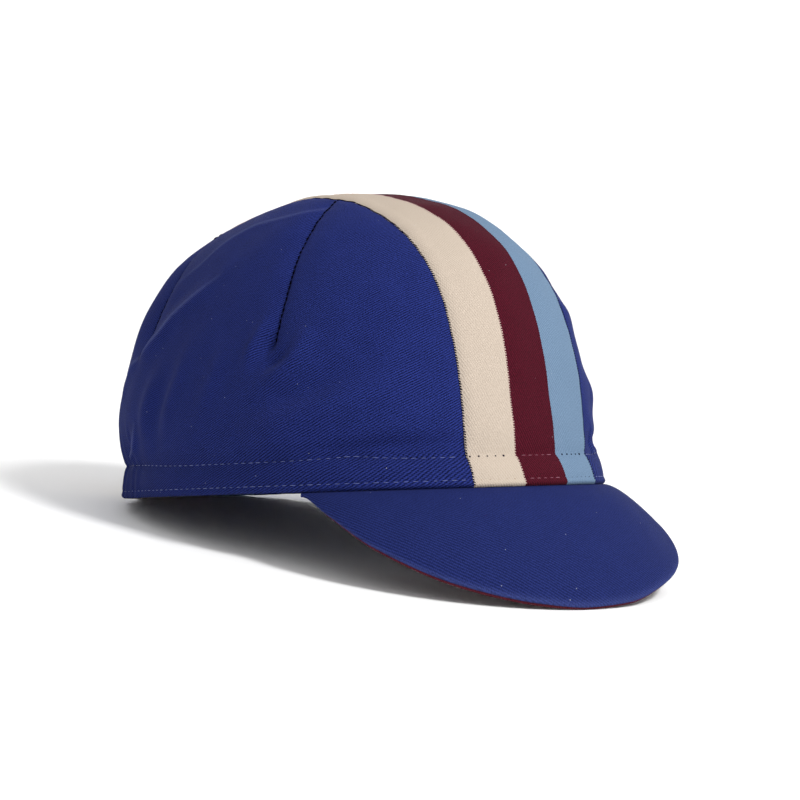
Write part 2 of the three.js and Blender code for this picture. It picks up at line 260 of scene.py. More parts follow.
@dataclass(frozen=True)
class DartRelief:
    """How a dart dents the cloth and where painted shade darkens it, in millimetres.

    Args:
        valley: depth of the soft valley along it.
        valley_spread: how wide that valley is.
        crease: depth of the sharp crease at its stitches.
        crease_spread: how wide that crease is.
        pucker: depth of the puckers across it.
        pucker_spread: how far they reach aside.
        pucker_pitch: distance between them.
        front_end: depth of the dimple where the front dart ends.
        rear_end: depth of the dimple where the rear dart ends.
        end_spread: how wide a dimple is.
        shade_spread: half width of the painted shade along the dart's crease at its stitches.
        shade_top: how dark that line is at its upper end, from 0 to 1.
        shade_gain: how much darker it is at its lower end.
        end_shade: how dark the painted shadow in a dimple's middle is.
        end_shade_spread: how wide that painted shadow is.
        inset: distance from the strip's seam at which the dart has its whole depth.
    """

    valley: float = 1.0
    valley_spread: float = 5.0
    crease: float = 0.8
    crease_spread: float = 1.1
    pucker: float = 0.25
    pucker_spread: float = 3.0
    pucker_pitch: float = 6.3
    front_end: float = 1.7
    rear_end: float = 1.2
    end_spread: float = 3.4
    shade_spread: float = 0.6
    shade_top: float = 0.55
    shade_gain: float = 0.45
    end_shade: float = 0.8
    end_shade_spread: float = 1.4
    inset: float = 9.0


@dataclass(frozen=True)
class SeamRelief:
    """How the strip's two outer seams dent the cloth and where painted shade darkens it, in millimetres.

    Args:
        valley: depth of the soft valley along a seam.
        valley_spread: how wide that valley is.
        crease: depth of the narrow groove in it.
        crease_spread: how wide that groove is.
        pucker: depth of the puckers across it.
        pucker_spread: how far they reach aside.
        pucker_pitch: distance between them.
        right_ridge: height of the strip's turned edge on the wearer's right.
        left_ridge: the same on the left.
        shade: how dark the painted shade on the panel is along the seam's groove, from 0 to 1.
        shade_spread: how wide that painted shade is.
    """

    valley: float = 0.45
    valley_spread: float = 4.0
    crease: float = 0.25
    crease_spread: float = 0.8
    pucker: float = 0.12
    pucker_spread: float = 3.2
    pucker_pitch: float = 7.4
    right_ridge: float = 0.4
    left_ridge: float = 0.15
    shade: float = 0.25
    shade_spread: float = 0.4


@dataclass(frozen=True)
class HemRelief:
    """How the hem's two stitch rows and the gathers above it shape the cloth, and where painted shade darkens
    it, in millimetres.

    Args:
        lower_row: height of the lower stitch row above the rim.
        upper_groove: depth of the groove at the upper row.
        upper_spread: how wide that groove is.
        upper_valley: depth of the soft valley round it.
        valley_spread: how wide that valley is.
        lower_groove: depth of the groove at the lower row.
        lower_spread: how wide that groove is.
        upper_dash: how much deeper each stitch of the upper row pulls.
        lower_dash: the same in the lower row.
        dash_pitch: distance between those pulls.
        radius: mean radius of the hem.
        swell: height of the soft swell between the rows.
        swell_rise: height of its middle above the rim.
        swell_spread: how wide it is.
        line_shade: how dark the painted shade is in the upper row's groove, from 0 to 1.
        line_spread: how wide that painted shade is.
        low_shade: how dark the painted shade is from the upper row down, where the hem gets less light.
        gather_from: turn from the front in degrees at which the gathers begin.
        gather_full: turn at which they are full.
        gather_rise: how far above the hem they reach.
    """

    lower_row: float = 2.5
    upper_groove: float = 0.42
    upper_spread: float = 0.9
    upper_valley: float = 0.3
    valley_spread: float = 3.0
    lower_groove: float = 0.22
    lower_spread: float = 0.7
    upper_dash: float = 0.1
    lower_dash: float = 0.08
    dash_pitch: float = 3.6
    radius: float = 82
    swell: float = 0.18
    swell_rise: float = 7
    swell_spread: float = 3.4
    line_shade: float = 0.5
    line_spread: float = 0.22
    low_shade: float = 0.16
    gather_from: float = 112
    gather_full: float = 126
    gather_rise: float = 22


SWELL = ClothSwell()
DART = DartRelief()
SEAM = SeamRelief()
HEM = HemRelief()
# length of cloth between the rows of a rolled hem, in millimetres.
ROLL_STEP = 0.6


class Side(Enum):
    """The wearer's side that a panel is on."""

    RIGHT = -1
    LEFT = 1


def table_value(table: tuple, column: int, at: np.ndarray) -> np.ndarray:
    """Reads a column of a table at given places of its first column, with smooth joins.

    Args:
        table: rows whose first value grows.
        column: index of the column to read.
        at: where to read it.

    Returns:
        The values, without overshoot between rows.
    """
    rows = np.array(table, float)
    x, y = rows[:, 0], rows[:, column]
    at = np.clip(at, x[0], x[-1])
    slope = np.diff(y) / np.diff(x)
    tangent = np.zeros(len(x))
    tangent[-1] = slope[-1]
    before, after = slope[:-1], slope[1:]
    same = before * after > 0
    tangent[1:-1][same] = 2 * before[same] * after[same] / (before + after)[same]
    i = np.clip(np.searchsorted(x, at, side="right") - 1, 0, len(x) - 2)
    h = x[i + 1] - x[i]
    u = (at - x[i]) / h
    ease = u * u * (3 - 2 * u)
    low = u * (1 - u) ** 2 * h * tangent[i]
    high = u * u * (u - 1) * h * tangent[i + 1]
    return y[i] * (1 - ease) + y[i + 1] * ease + low + high


def smooth_step(value: np.ndarray, low: float, high: float) -> np.ndarray:
    """Eases from 0 at low to 1 at high."""
    u = np.clip((value - low) / (high - low), 0, 1)
    return u * u * (3 - 2 * u)


def bell(value: np.ndarray, spread: float) -> np.ndarray:
    """A round hump of height 1 at value 0."""
    return np.exp(-((value / spread) ** 2))


def spike(value: np.ndarray, spread: float) -> np.ndarray:
    """A sharp crest of height 1 at value 0."""
    return np.exp(-np.abs(value) / spread)


def unit(vectors: np.ndarray) -> np.ndarray:
    """Scales vectors to length 1."""
    return vectors / np.maximum(np.linalg.norm(vectors, axis=-1, keepdims=True), 1e-12)


def line_distance(points: np.ndarray, line: np.ndarray) -> tuple:
    """Distance from points to a polyline, and how far along it the nearest place is.

    Args:
        points: (n, 3) points.
        line: (m, 3) points of the line.

    Returns:
        Two arrays of n: the distance, and the length along the line.
    """
    start, step = line[:-1], np.diff(line, axis=0)
    length = np.linalg.norm(step, axis=1)
    begin = np.concatenate([[0], np.cumsum(length)[:-1]])
    far, along = [], []
    for block in np.array_split(points, max(1, len(points) // 4000)):
        rel = block[:, None] - start[None]
        share = np.clip((rel * step).sum(2) / np.maximum(length**2, 1e-12), 0, 1)
        gap = np.linalg.norm(rel - share[..., None] * step, axis=2)
        best = gap.argmin(1)
        rows = np.arange(len(block))
        far.append(gap[rows, best])
        along.append((begin + share * length)[rows, best])
    return np.concatenate(far), np.concatenate(along)


def ripple(points: np.ndarray, pitch: float, seed: int) -> np.ndarray:
    """A smooth random-looking swell of about plus or minus 1.

    Args:
        points: (..., 3) places in millimetres.
        pitch: distance between crests.
        seed: fixes the directions of its waves.

    Returns:
        The swell's height at each place.
    """
    rng = np.random.default_rng(seed)
    total = np.zeros(points.shape[:-1])
    for _ in range(7):
        way = unit(rng.normal(size=3)) * TAU / (pitch * rng.uniform(0.7, 1.5))
        total += np.sin(points @ way + rng.uniform(0, TAU))
    return total / 3.2


# The cap's surface


class CapForm:
    """The smooth crown and peak, in the cap's own frame, and its place in the row's frame."""

    def __init__(self, sizes: CapSizes) -> None:
        """Keeps the sizes.

        Args:
            sizes: the named sizes.
        """
        self.sizes = sizes
        self.top = len(SECTIONS) - 1

    def section(self, level: np.ndarray) -> np.ndarray:
        """Section values at levels: -1 the rim, 0 the hem's top, then one per row.

        Returns:
            (n, 5) rise, long, wide, shift and square.
        """
        level = np.atleast_1d(np.asarray(level, float))
        rows = np.array(SECTIONS)
        first = 2 * rows[0] - rows[1]
        last = rows[-2] * np.array([1, -1, -1, 1, -1])
        p = np.vstack([first, rows, last])
        inside = np.clip(level, 0, self.top)
        i = np.clip(np.floor(inside).astype(int), 0, self.top - 1)
        u = (inside - i)[:, None]
        a, b, c, d = p[i], p[i + 1], p[i + 2], p[i + 3]
        cubic = (3 * b - a - 3 * c + d) * u**3
        dome = 0.5 * (2 * b + (c - a) * u + (2 * a - 5 * b + 4 * c - d) * u**2 + cubic)
        share = np.clip(-level, 0, 1)[:, None]
        hem = rows[0] * (1 - share) + np.array(RIM_SECTION) * share
        return np.where(level[:, None] < 0, hem, dome)

    def point(self, turn: np.ndarray, level: np.ndarray) -> np.ndarray:
        """Points of the crown. turn is in radians from the front, towards the wearer's left.

        Args:
            turn: turns of the points.
            level: levels of the points.

        Returns:
            (n, 3) points.
        """
        s = self.section(level)
        sine, cosine = np.sin(turn), np.cos(turn)
        power = 1 - s[:, 4]
        across = np.sign(sine) * np.abs(sine) ** power * (1 + self.sizes.front_fullness * cosine)
        along = s[:, 3] - s[:, 1] * np.sign(cosine) * np.abs(cosine) ** power
        return np.stack(
            [
                self.sizes.rim_half_width * s[:, 2] * across,
                self.sizes.rim_half_length * along,
                self.sizes.crown_height * s[:, 0],
            ],
            axis=1,
        )

    def normal(self, turn: np.ndarray, level: np.ndarray) -> np.ndarray:
        """Outward directions of the crown.

        Args:
            turn: turns of the points.
            level: levels of the points.

        Returns:
            (n, 3) directions.
        """
        step = 0.004
        level = np.clip(level, -1, self.top)
        round_ = self.point(turn + step, level) - self.point(turn - step, level)
        up = self.point(turn, np.minimum(level + step, self.top))
        up = up - self.point(turn, np.maximum(level - step, -1))
        out = unit(np.cross(round_, up))
        out[level > self.top - 0.01] = (0, 0, 1)
        return out

    def level_at(self, rise: np.ndarray) -> np.ndarray:
        """Levels at which the crown reaches shares of its height.

        Args:
            rise: the shares.

        Returns:
            The levels.
        """
        low, high = np.zeros(len(rise)), np.full(len(rise), float(self.top))
        for _ in range(30):
            middle = (low + high) / 2
            below = self.section(middle)[:, 0] < rise
            low, high = np.where(below, middle, low), np.where(below, high, middle)
        return low

    def strip_half_width(self, point: np.ndarray, share: float = 0.0) -> np.ndarray:
        """Half width of the striped strip beside points.

        Args:
            point: (n, 3) points of the crown.
            share: line across the strip, from -1 to 1, whose edge may be fuller.

        Returns:
            Millimetres, fuller at the front on the left and at the back on the right.
        """
        ahead = np.abs(point[:, 1]) / self.sizes.rim_half_length
        half = self.sizes.strip_width / 2 * table_value(STRIP_EDGE, 1, ahead)
        if abs(share) <= 1 / 3:
            return half
        outer = min(1.0, (abs(share) - 1 / 3) * 1.5)
        y = point[:, 1]
        if share < 0:
            extra = RIGHT_FULLNESS * smooth_step(y, *RIGHT_GROWS) * (1 - smooth_step(y, *RIGHT_ENDS))
        else:
            z = point[:, 2]
            extra = (table_value(LEFT_FULLNESS, 1, z) - 1) * smooth_step(-y, 0, LEFT_GROWS)
        return half * (1 + extra * outer)

    def strip_turn(self, share: float, level: np.ndarray, behind: bool) -> np.ndarray:
        """Turn at which a lengthwise line of the strip crosses levels, by bisection.

        Args:
            share: where the line runs across, from -1 to 1.
            level: levels of the crown.
            behind: whether the back crossing is wanted.

        Returns:
            Turns in radians.
        """
        low = np.full(len(level), 1e-9)
        high = np.full(len(level), math.pi / 2)
        for _ in range(40):
            middle = (low + high) / 2
            turn = math.pi - middle if behind else middle
            p = self.point(turn, level)
            short = p[:, 0] < abs(share) * self.strip_half_width(p, share)
            low, high = np.where(short, middle, low), np.where(short, high, middle)
        turn = math.pi - low if behind else low
        return turn * (math.copysign(1, share) if share else 1)

    def strip_top(self, share: float) -> float:
        """The level at which a lengthwise line of the strip passes over the top.

        Args:
            share: where the line runs across, from -1 to 1.

        Returns:
            The level.
        """
        low, high = 0.0, float(self.top)
        for _ in range(40):
            middle = (low + high) / 2
            p = self.point(np.array([math.pi / 2]), np.array([middle]))
            wide = p[0, 0] > abs(share) * self.strip_half_width(p, share)[0]
            low, high = (middle, high) if wide else (low, middle)
        return low

    def strip_line(self, share: float, hem_levels: np.ndarray, rows: int) -> dict:
        """A line along the strip, from the front rim over the top to the back rim.

        Args:
            share: where it runs across, from -1 to 1.
            hem_levels: levels of its points in each hem, from -1 up to 0.
            rows: number of points between the hems.

        Returns:
            Arrays "turn", "level", "point", "normal" and "length" along the line.
        """
        top = self.strip_top(share)
        s = np.linspace(0, 1, 500)
        climb = top * (1 - (1 - s) ** 2)
        turn = np.concatenate([self.strip_turn(share, climb, b)[:: -1 if b else 1] for b in (False, True)])
        level = np.concatenate([climb, climb[::-1]])
        keep = np.r_[0:500, 501:1000]
        turn, level = turn[keep], level[keep]
        point, normal = self.point(turn, level), self.normal(turn, level)
        length = np.concatenate([[0], np.cumsum(np.linalg.norm(np.diff(point, axis=0), axis=1))])
        at = np.linspace(0, length[-1], rows)
        dome = {"length": at}
        for key, values in (("point", point), ("normal", normal)):
            dome[key] = np.stack([np.interp(at, length, values[:, k]) for k in range(3)], 1)
        dome["turn"], dome["level"] = (np.interp(at, length, v) for v in (turn, level))
        parts = []
        for behind in (False, True):
            lv = hem_levels[:-1]
            tn = self.strip_turn(share, lv, behind)
            part = {"turn": tn, "level": lv, "point": self.point(tn, lv), "normal": self.normal(tn, lv)}
            reach = lv * self.sizes.hem_height
            part["length"] = reach if not behind else length[-1] - reach
            parts.append({k: v[::-1] if behind else v for k, v in part.items()})
        front, back = parts
        return {k: np.concatenate([front[k], dome[k], back[k]]) for k in dome}

    def path(self, table: tuple, side: int, count: int) -> np.ndarray:
        """Points of a dart or fold on the crown.

        Args:
            table: (turn, rise) rows.
            side: -1 for the wearer's right, 1 for the left.
            count: number of points.

        Returns:
            (count, 3) points of the smooth crown.
        """
        turn, level = self.path_angles(table, side, count)
        return self.point(turn, level)

    def path_angles(self, table: tuple, side: int, count: int) -> tuple:
        """Turns and levels of a dart's or fold's points.

        Args:
            table: (turn, rise) rows.
            side: -1 for the wearer's right, 1 for the left.
            count: number of points.

        Returns:
            The turns in radians, and the levels.
        """
        rows = np.array(table, float)
        share = np.linspace(0, 1, len(rows))
        at = np.linspace(0, 1, count)
        curve = []
        for k in (0, 1):
            tangent = np.gradient(rows[:, k], share)
            i = np.clip(np.searchsorted(share, at, side="right") - 1, 0, len(rows) - 2)
            h = share[1]
            u = (at - share[i]) / h
            ease = u * u * (3 - 2 * u)
            bend = h * (u * (1 - u) ** 2 * tangent[i] + u * u * (u - 1) * tangent[i + 1])
            curve.append(rows[i, k] * (1 - ease) + rows[i + 1, k] * ease + bend)
        return side * np.radians(curve[0]), self.level_at(np.array(curve[1]))

    def peak_point(self, along: np.ndarray, out: np.ndarray) -> np.ndarray:
        """Points of the peak's top surface: along from -1 to 1, out from 0 to 1.

        Args:
            along: places from one tip to the other.
            out: places from the root to the edge.

        Returns:
            (n, 3) points.
        """
        z = self.sizes
        turn = np.radians(z.peak_half_span) * along
        rim = np.full_like(turn, -1.0)
        inward = self.normal(turn, rim)
        inward[:, 2] = 0
        root = self.point(turn, rim) - unit(inward) * z.hem_wall / 2
        reach = out * z.peak_reach * table_value(PEAK_OUTLINE, 1, along)
        fall = z.peak_drop * table_value(PEAK_OUTLINE, 2, along) * out**z.peak_curve
        heading = turn * z.peak_fan
        step = np.stack([np.sin(heading) * reach, -np.cos(heading) * reach, -z.peak_gap - fall], 1)
        return root + step

    def peak_normal(self, along: np.ndarray, out: np.ndarray) -> np.ndarray:
        """Upward directions of the peak's top surface.

        Args:
            along: places from one tip to the other.
            out: places from the root to the edge.

        Returns:
            (n, 3) directions.
        """
        step = 0.01
        across = self.peak_point(along + step, out) - self.peak_point(along - step, out)
        outward = self.peak_point(along, out + step) - self.peak_point(along, np.maximum(out - step, 0))
        return unit(np.cross(outward, across))

    def turned(self, vectors: np.ndarray) -> np.ndarray:
        """Directions of the cap's frame, in the row's frame."""
        lean = math.radians(self.sizes.lean_deg)
        x, y, z = vectors[..., 0], vectors[..., 1], vectors[..., 2]
        return np.stack(
            [x, y * math.cos(lean) + z * math.sin(lean), z * math.cos(lean) - y * math.sin(lean)],
            axis=-1,
        )

    def placed(self, points: np.ndarray) -> np.ndarray:
        """Points of the cap's frame in the row's frame, in metres, pressed flat on the ground."""
        p = self.turned(points) + np.array([0, self.sizes.forward, self.sizes.lift])
        p[..., 2] = np.maximum(p[..., 2], 0)
        return p * MM


class Relief:
    """Height of darts, folds, seams, gathers and puckers above the smooth crown."""

    def __init__(self, form: CapForm) -> None:
        """Args:
        form: the smooth crown.
        """
        self.form = form
        edge = np.linspace(-1, 0, 9)
        self.seams = {share: form.strip_line(share, edge, 260)["point"] for share in (-1, 1)}

    def hem_line(self, turn: np.ndarray) -> np.ndarray:
        """Height of the hem's upper stitch row, lower in front and highest by the peak's ends.

        Args:
            turn: turns in radians.

        Returns:
            Millimetres above the rim.
        """
        away = np.abs(np.degrees(np.angle(np.exp(1j * turn))))
        return self.form.sizes.hem_height - 1.0 + smooth_step(away, 95, 120) + 1.1 * bell(away - 50, 12)

    def crown(self, point: np.ndarray, turn: np.ndarray, seam_share: float = 0.0) -> dict:
        """Relief at points of the crown.

        Args:
            point: (n, 3) points of the smooth crown.
            turn: their turns in radians.
            seam_share: side of the strip the points are on: -1, 1, or 0 for the strip itself.

        Returns:
            "height" in millimetres, and the masks "wear" and "seam" from 0 to 1: "wear" pales fold crests by
            rubbing and by painted highlight, and "seam" is painted shade.
        """
        sizes = self.form.sizes
        z = point[:, 2]
        away = np.abs(np.angle(np.exp(1j * turn)))
        above = smooth_step(z, sizes.hem_height, sizes.hem_height + SWELL.rise)
        broad = SWELL.broad * ripple(point, SWELL.broad_pitch, 3)
        height = (broad + SWELL.fine * ripple(point, SWELL.fine_pitch, 5)) * above
        valley, wear_and_highlight, seam = np.zeros(len(z)), np.zeros(len(z)), np.zeros(len(z))
        if seam_share:
            side = int(seam_share)
            inside = smooth_step(line_distance(point, self.seams[side])[0], 0.0, DART.inset)
            for table, dimple in ((FRONT_DART, DART.front_end), (REAR_DART, DART.rear_end)):
                dart = self.form.path(table, side, 90)
                far, along = line_distance(point, dart)
                pucker = 0.5 + 0.5 * np.sin(along * TAU / DART.pucker_pitch + np.sin(along / 9) * 2)
                depth = DART.valley * bell(far, DART.valley_spread)
                depth = depth + DART.crease * spike(far, DART.crease_spread)
                depth = depth + DART.pucker * pucker * spike(far, DART.pucker_spread)
                valley = np.maximum(valley, depth * inside)
                # Painted shade along the dart's crease, darker towards its lower end.
                dart_painted_shade = DART.shade_top + DART.shade_gain * smooth_step(along / along.max(), 0.45, 0.75)
                seam = np.maximum(seam, dart_painted_shade * bell(far, DART.shade_spread))
                end = np.linalg.norm(point - dart[-1], axis=1)
                valley = np.maximum(valley, dimple * bell(end, DART.end_spread))
                # Painted shadow in the dimple where the dart ends.
                seam = np.maximum(seam, DART.end_shade * bell(end, DART.end_shade_spread))
            for fold in FOLDS:
                if side not in fold.sides:
                    continue
                path = self.form.path(fold.line, side, 60)
                far, along = line_distance(point, path)
                total = np.linalg.norm(np.diff(path, axis=0), axis=1).sum()
                ends = np.sin(np.clip(along / total, 0.04, 0.96) * math.pi) ** 0.6
                height += FOLD_GAIN * fold.height * bell(far, fold.spread) * ends
                height += fold.crest * spike(far, 1.3) * ends
                # Pale fold crests: partly rubbed cloth, partly painted highlight on the crests.
                wear_and_highlight = np.maximum(wear_and_highlight, fold.wear_and_highlight * bell(far, 0.8) * ends)
        for share in (-1, 1):
            far, along = line_distance(point, self.seams[share])
            pucker = np.sin(along * TAU / SEAM.pucker_pitch + 1.7 * np.sin(along / 13) + share)
            depth = SEAM.valley * bell(far, SEAM.valley_spread)
            depth = depth + SEAM.crease * bell(far, SEAM.crease_spread)
            depth = depth + SEAM.pucker * (1 + pucker) * spike(far, SEAM.pucker_spread)
            if share > 0:
                depth *= 0.3 + 0.7 * smooth_step(point[:, 1], -30, 20)
            valley = np.maximum(valley, depth * (0.35 + 0.65 * above))
            if not seam_share:
                ridge = SEAM.right_ridge if share < 0 else SEAM.left_ridge
                height += ridge * smooth_step(far, 0.4, 2.0) * (1 - smooth_step(far, 4.6, 6.2)) * above
            else:
                # Painted shade on the panel in the groove along the strip's seam.
                seam = np.maximum(seam, SEAM.shade * bell(far, SEAM.shade_spread))
        height -= valley
        back = smooth_step(np.degrees(away), HEM.gather_from, HEM.gather_full)
        low = 1 - smooth_step(z, sizes.hem_height, sizes.hem_height + HEM.gather_rise)
        height += back * low * sum(high * np.cos(count * away + at) for high, count, at in GATHER_WAVES)
        upper, lower = z - self.hem_line(turn), z - HEM.lower_row
        dash = 0.5 + 0.5 * np.cos(away * HEM.radius * TAU / HEM.dash_pitch)
        groove = (HEM.upper_groove + HEM.upper_dash * dash) * bell(upper, HEM.upper_spread)
        height -= groove + HEM.upper_valley * bell(upper, HEM.valley_spread)
        height -= (HEM.lower_groove + HEM.lower_dash * dash) * bell(lower, HEM.lower_spread)
        height += HEM.swell * bell(z - HEM.swell_rise, HEM.swell_spread) * (1 - back)
        # Painted shade: a dark line in the upper hem row's groove, and the panel darker from that row down,
        # where the hem gets less light.
        seam = np.maximum(seam, HEM.line_shade * bell(upper, HEM.line_spread) * abs(seam_share))
        shade = HEM.low_shade * (1 - smooth_step(upper, -0.5, 9.0))
        seam = np.maximum(seam, shade * abs(seam_share))
        return {"height": height, "wear_and_highlight": wear_and_highlight, "seam": seam}


# Meshes


class MeshMaker:
    """Turns numpy grids into Blender pieces."""

    @staticmethod
    def piece(name: str, points: np.ndarray, faces: list, uv: np.ndarray, masks: dict) -> bpy.types.Object:
        """Makes a smooth piece with a UV map and vertex masks.

        Args:
            name: name of the piece.
            points: (n, 3) places in metres.
            faces: vertex numbers of each face.
            uv: (n, 2) cloth coordinates in millimetres.
            masks: arrays of n floats by attribute name.

        Returns:
            The new object.
        """
        mesh = bpy.data.meshes.new(name)
        mesh.from_pydata(points.tolist(), [], faces)
        layer = mesh.uv_layers.new(name="cloth")
        corners = np.empty(len(mesh.loops), np.int32)
        mesh.loops.foreach_get("vertex_index", corners)
        layer.data.foreach_set("uv", uv[corners].astype(np.float32).ravel())
        for key, values in masks.items():
            mesh.attributes.new(key, "FLOAT", "POINT").data.foreach_set("value", values.astype(np.float32))
        mesh.shade_smooth()
        mesh.set_sharp_from_angle(angle=math.radians(55))
        mesh.validate()
        obj = bpy.data.objects.new(name, mesh)
        bpy.context.scene.collection.objects.link(obj)
        return obj

    @staticmethod
    def slab(rows: int, cols: int) -> list:
        """Faces of a closed slab whose rings run down its outside and up its inside.

        Args:
            rows: points in each ring, the first half outside and the rest inside, in order.
            cols: number of rings side by side.

        Returns:
            Quads, with both end caps, facing out when the rings run the right way.
        """
        faces = []
        for c in range(cols - 1):
            a, b = c * rows, (c + 1) * rows
            for r in range(rows):
                s = (r + 1) % rows
                faces.append((a + r, a + s, b + s, b + r))
        half = rows // 2
        last = (cols - 1) * rows
        for r in range(half - 1):
            twin, below = rows - 1 - r, rows - 2 - r
            faces.append((r, twin, below, r + 1))
            faces.append((last + r, last + r + 1, last + below, last + twin))
        return faces


@dataclass(frozen=True)
class Twill:
    """How a twill cloth is cut, woven and coloured.

    Args:
        name: name of the material.
        base: linear colour of the cloth.
        dark: linear colour between its ridges.
        rubbed_and_highlight_colour: linear colour of its rubbed crests, also used for painted highlight on
            fold crests.
        angle: direction of its ridges in degrees on the cloth.
        pitch: distance between ridges in millimetres.
        depth: height of the ridges in millimetres.
        sheen: weight of its fuzz.
        rough: roughness of that fuzz and of its reflection.
        gloss: strength of its mirror reflection.
    """

    name: str
    base: tuple
    dark: tuple
    rubbed_and_highlight_colour: tuple
    angle: float = 28.0
    pitch: float = 0.88
    depth: float = 0.085
    sheen: float = 0.25
    rough: float = 0.86
    gloss: float = 0.06


def by_ring(grid: np.ndarray) -> np.ndarray:
    """Values of a (rows, cols, ...) grid as one list, ring after ring."""
    rows, cols = grid.shape[:2]
    return np.swapaxes(grid, 0, 1).reshape(rows * cols, *grid.shape[2:])


def wrapped(mask: np.ndarray, before: int, after: int) -> np.ndarray:
    """A cloth mask carried on round the rolled edges and up the inside.

    Args:
        mask: (rows, cols) values on the outside.
        before: rows of the rolled edge above the first one.
        after: rows of the rolled edge below the last one.

    Returns:
        Values for the whole ring, outside and inside.
    """
    outside = np.vstack([mask[:1]] * before + [mask] + [mask[-1:]] * after)
    return np.vstack([outside, outside[::-1]])


class ClothPiece:
    """A cloth piece of the crown: a grid of rings, each ring a closed cut through the cloth."""

    fold_angles = np.radians([22, 56, 90, 124, 158])

    def __init__(self, form: CapForm, relief: Relief) -> None:
        """Args:
        form: the smooth crown.
        relief: its darts, folds and seams.
        """
        self.form = form
        self.relief = relief

    def hem_levels(self, count: int) -> np.ndarray:
        """Levels of the hem's rows from just above the fold up to its top."""
        radius = self.form.sizes.hem_wall / 2
        return np.linspace(-1 + radius / self.form.sizes.hem_height, 0, count)

    def layers(self, point: np.ndarray, normal: np.ndarray, turn: np.ndarray, share: float) -> dict:
        """Outer and inner points of the cloth, in the cap's frame.

        Args:
            point: (rows, cols, 3) points of the smooth crown.
            normal: outward directions there.
            turn: (rows, cols) turns.
            share: side of the strip: -1, 1 or 0.

        Returns:
            "outer", "inner" and the masks, all shaped (rows, cols, ...).
        """
        shape = turn.shape
        made = self.relief.crown(point.reshape(-1, 3), turn.ravel(), share)
        height = made["height"].reshape(shape)
        sizes = self.form.sizes
        z = point[..., 2]
        hem = 1 - smooth_step(z, sizes.hem_height + 0.3, sizes.hem_height + 1.1)
        wall = sizes.cloth + (sizes.hem_wall - sizes.cloth) * hem
        return {
            "outer": point + normal * height[..., None],
            "inner": point + normal * (height * 0.8 - wall)[..., None],
            "wear_and_highlight": made["wear_and_highlight"].reshape(shape),
            "seam": made["seam"].reshape(shape),
            "wall": wall,
        }

    def fold(self, outer: np.ndarray, inner: np.ndarray) -> np.ndarray:
        """Rounded points of the folded edge between an outer and an inner row.

        Args:
            outer: (cols, 3) lowest outer points.
            inner: (cols, 3) inner points across from them.

        Returns:
            (5, cols, 3) points from the outside round to the inside.
        """
        centre, arm = (outer + inner) / 2, (outer - inner) / 2
        radius = np.linalg.norm(arm, axis=1, keepdims=True)
        down = np.array([0, 0, -1.0]) * radius
        return np.stack([centre + arm * math.cos(a) + down * math.sin(a) for a in self.fold_angles])


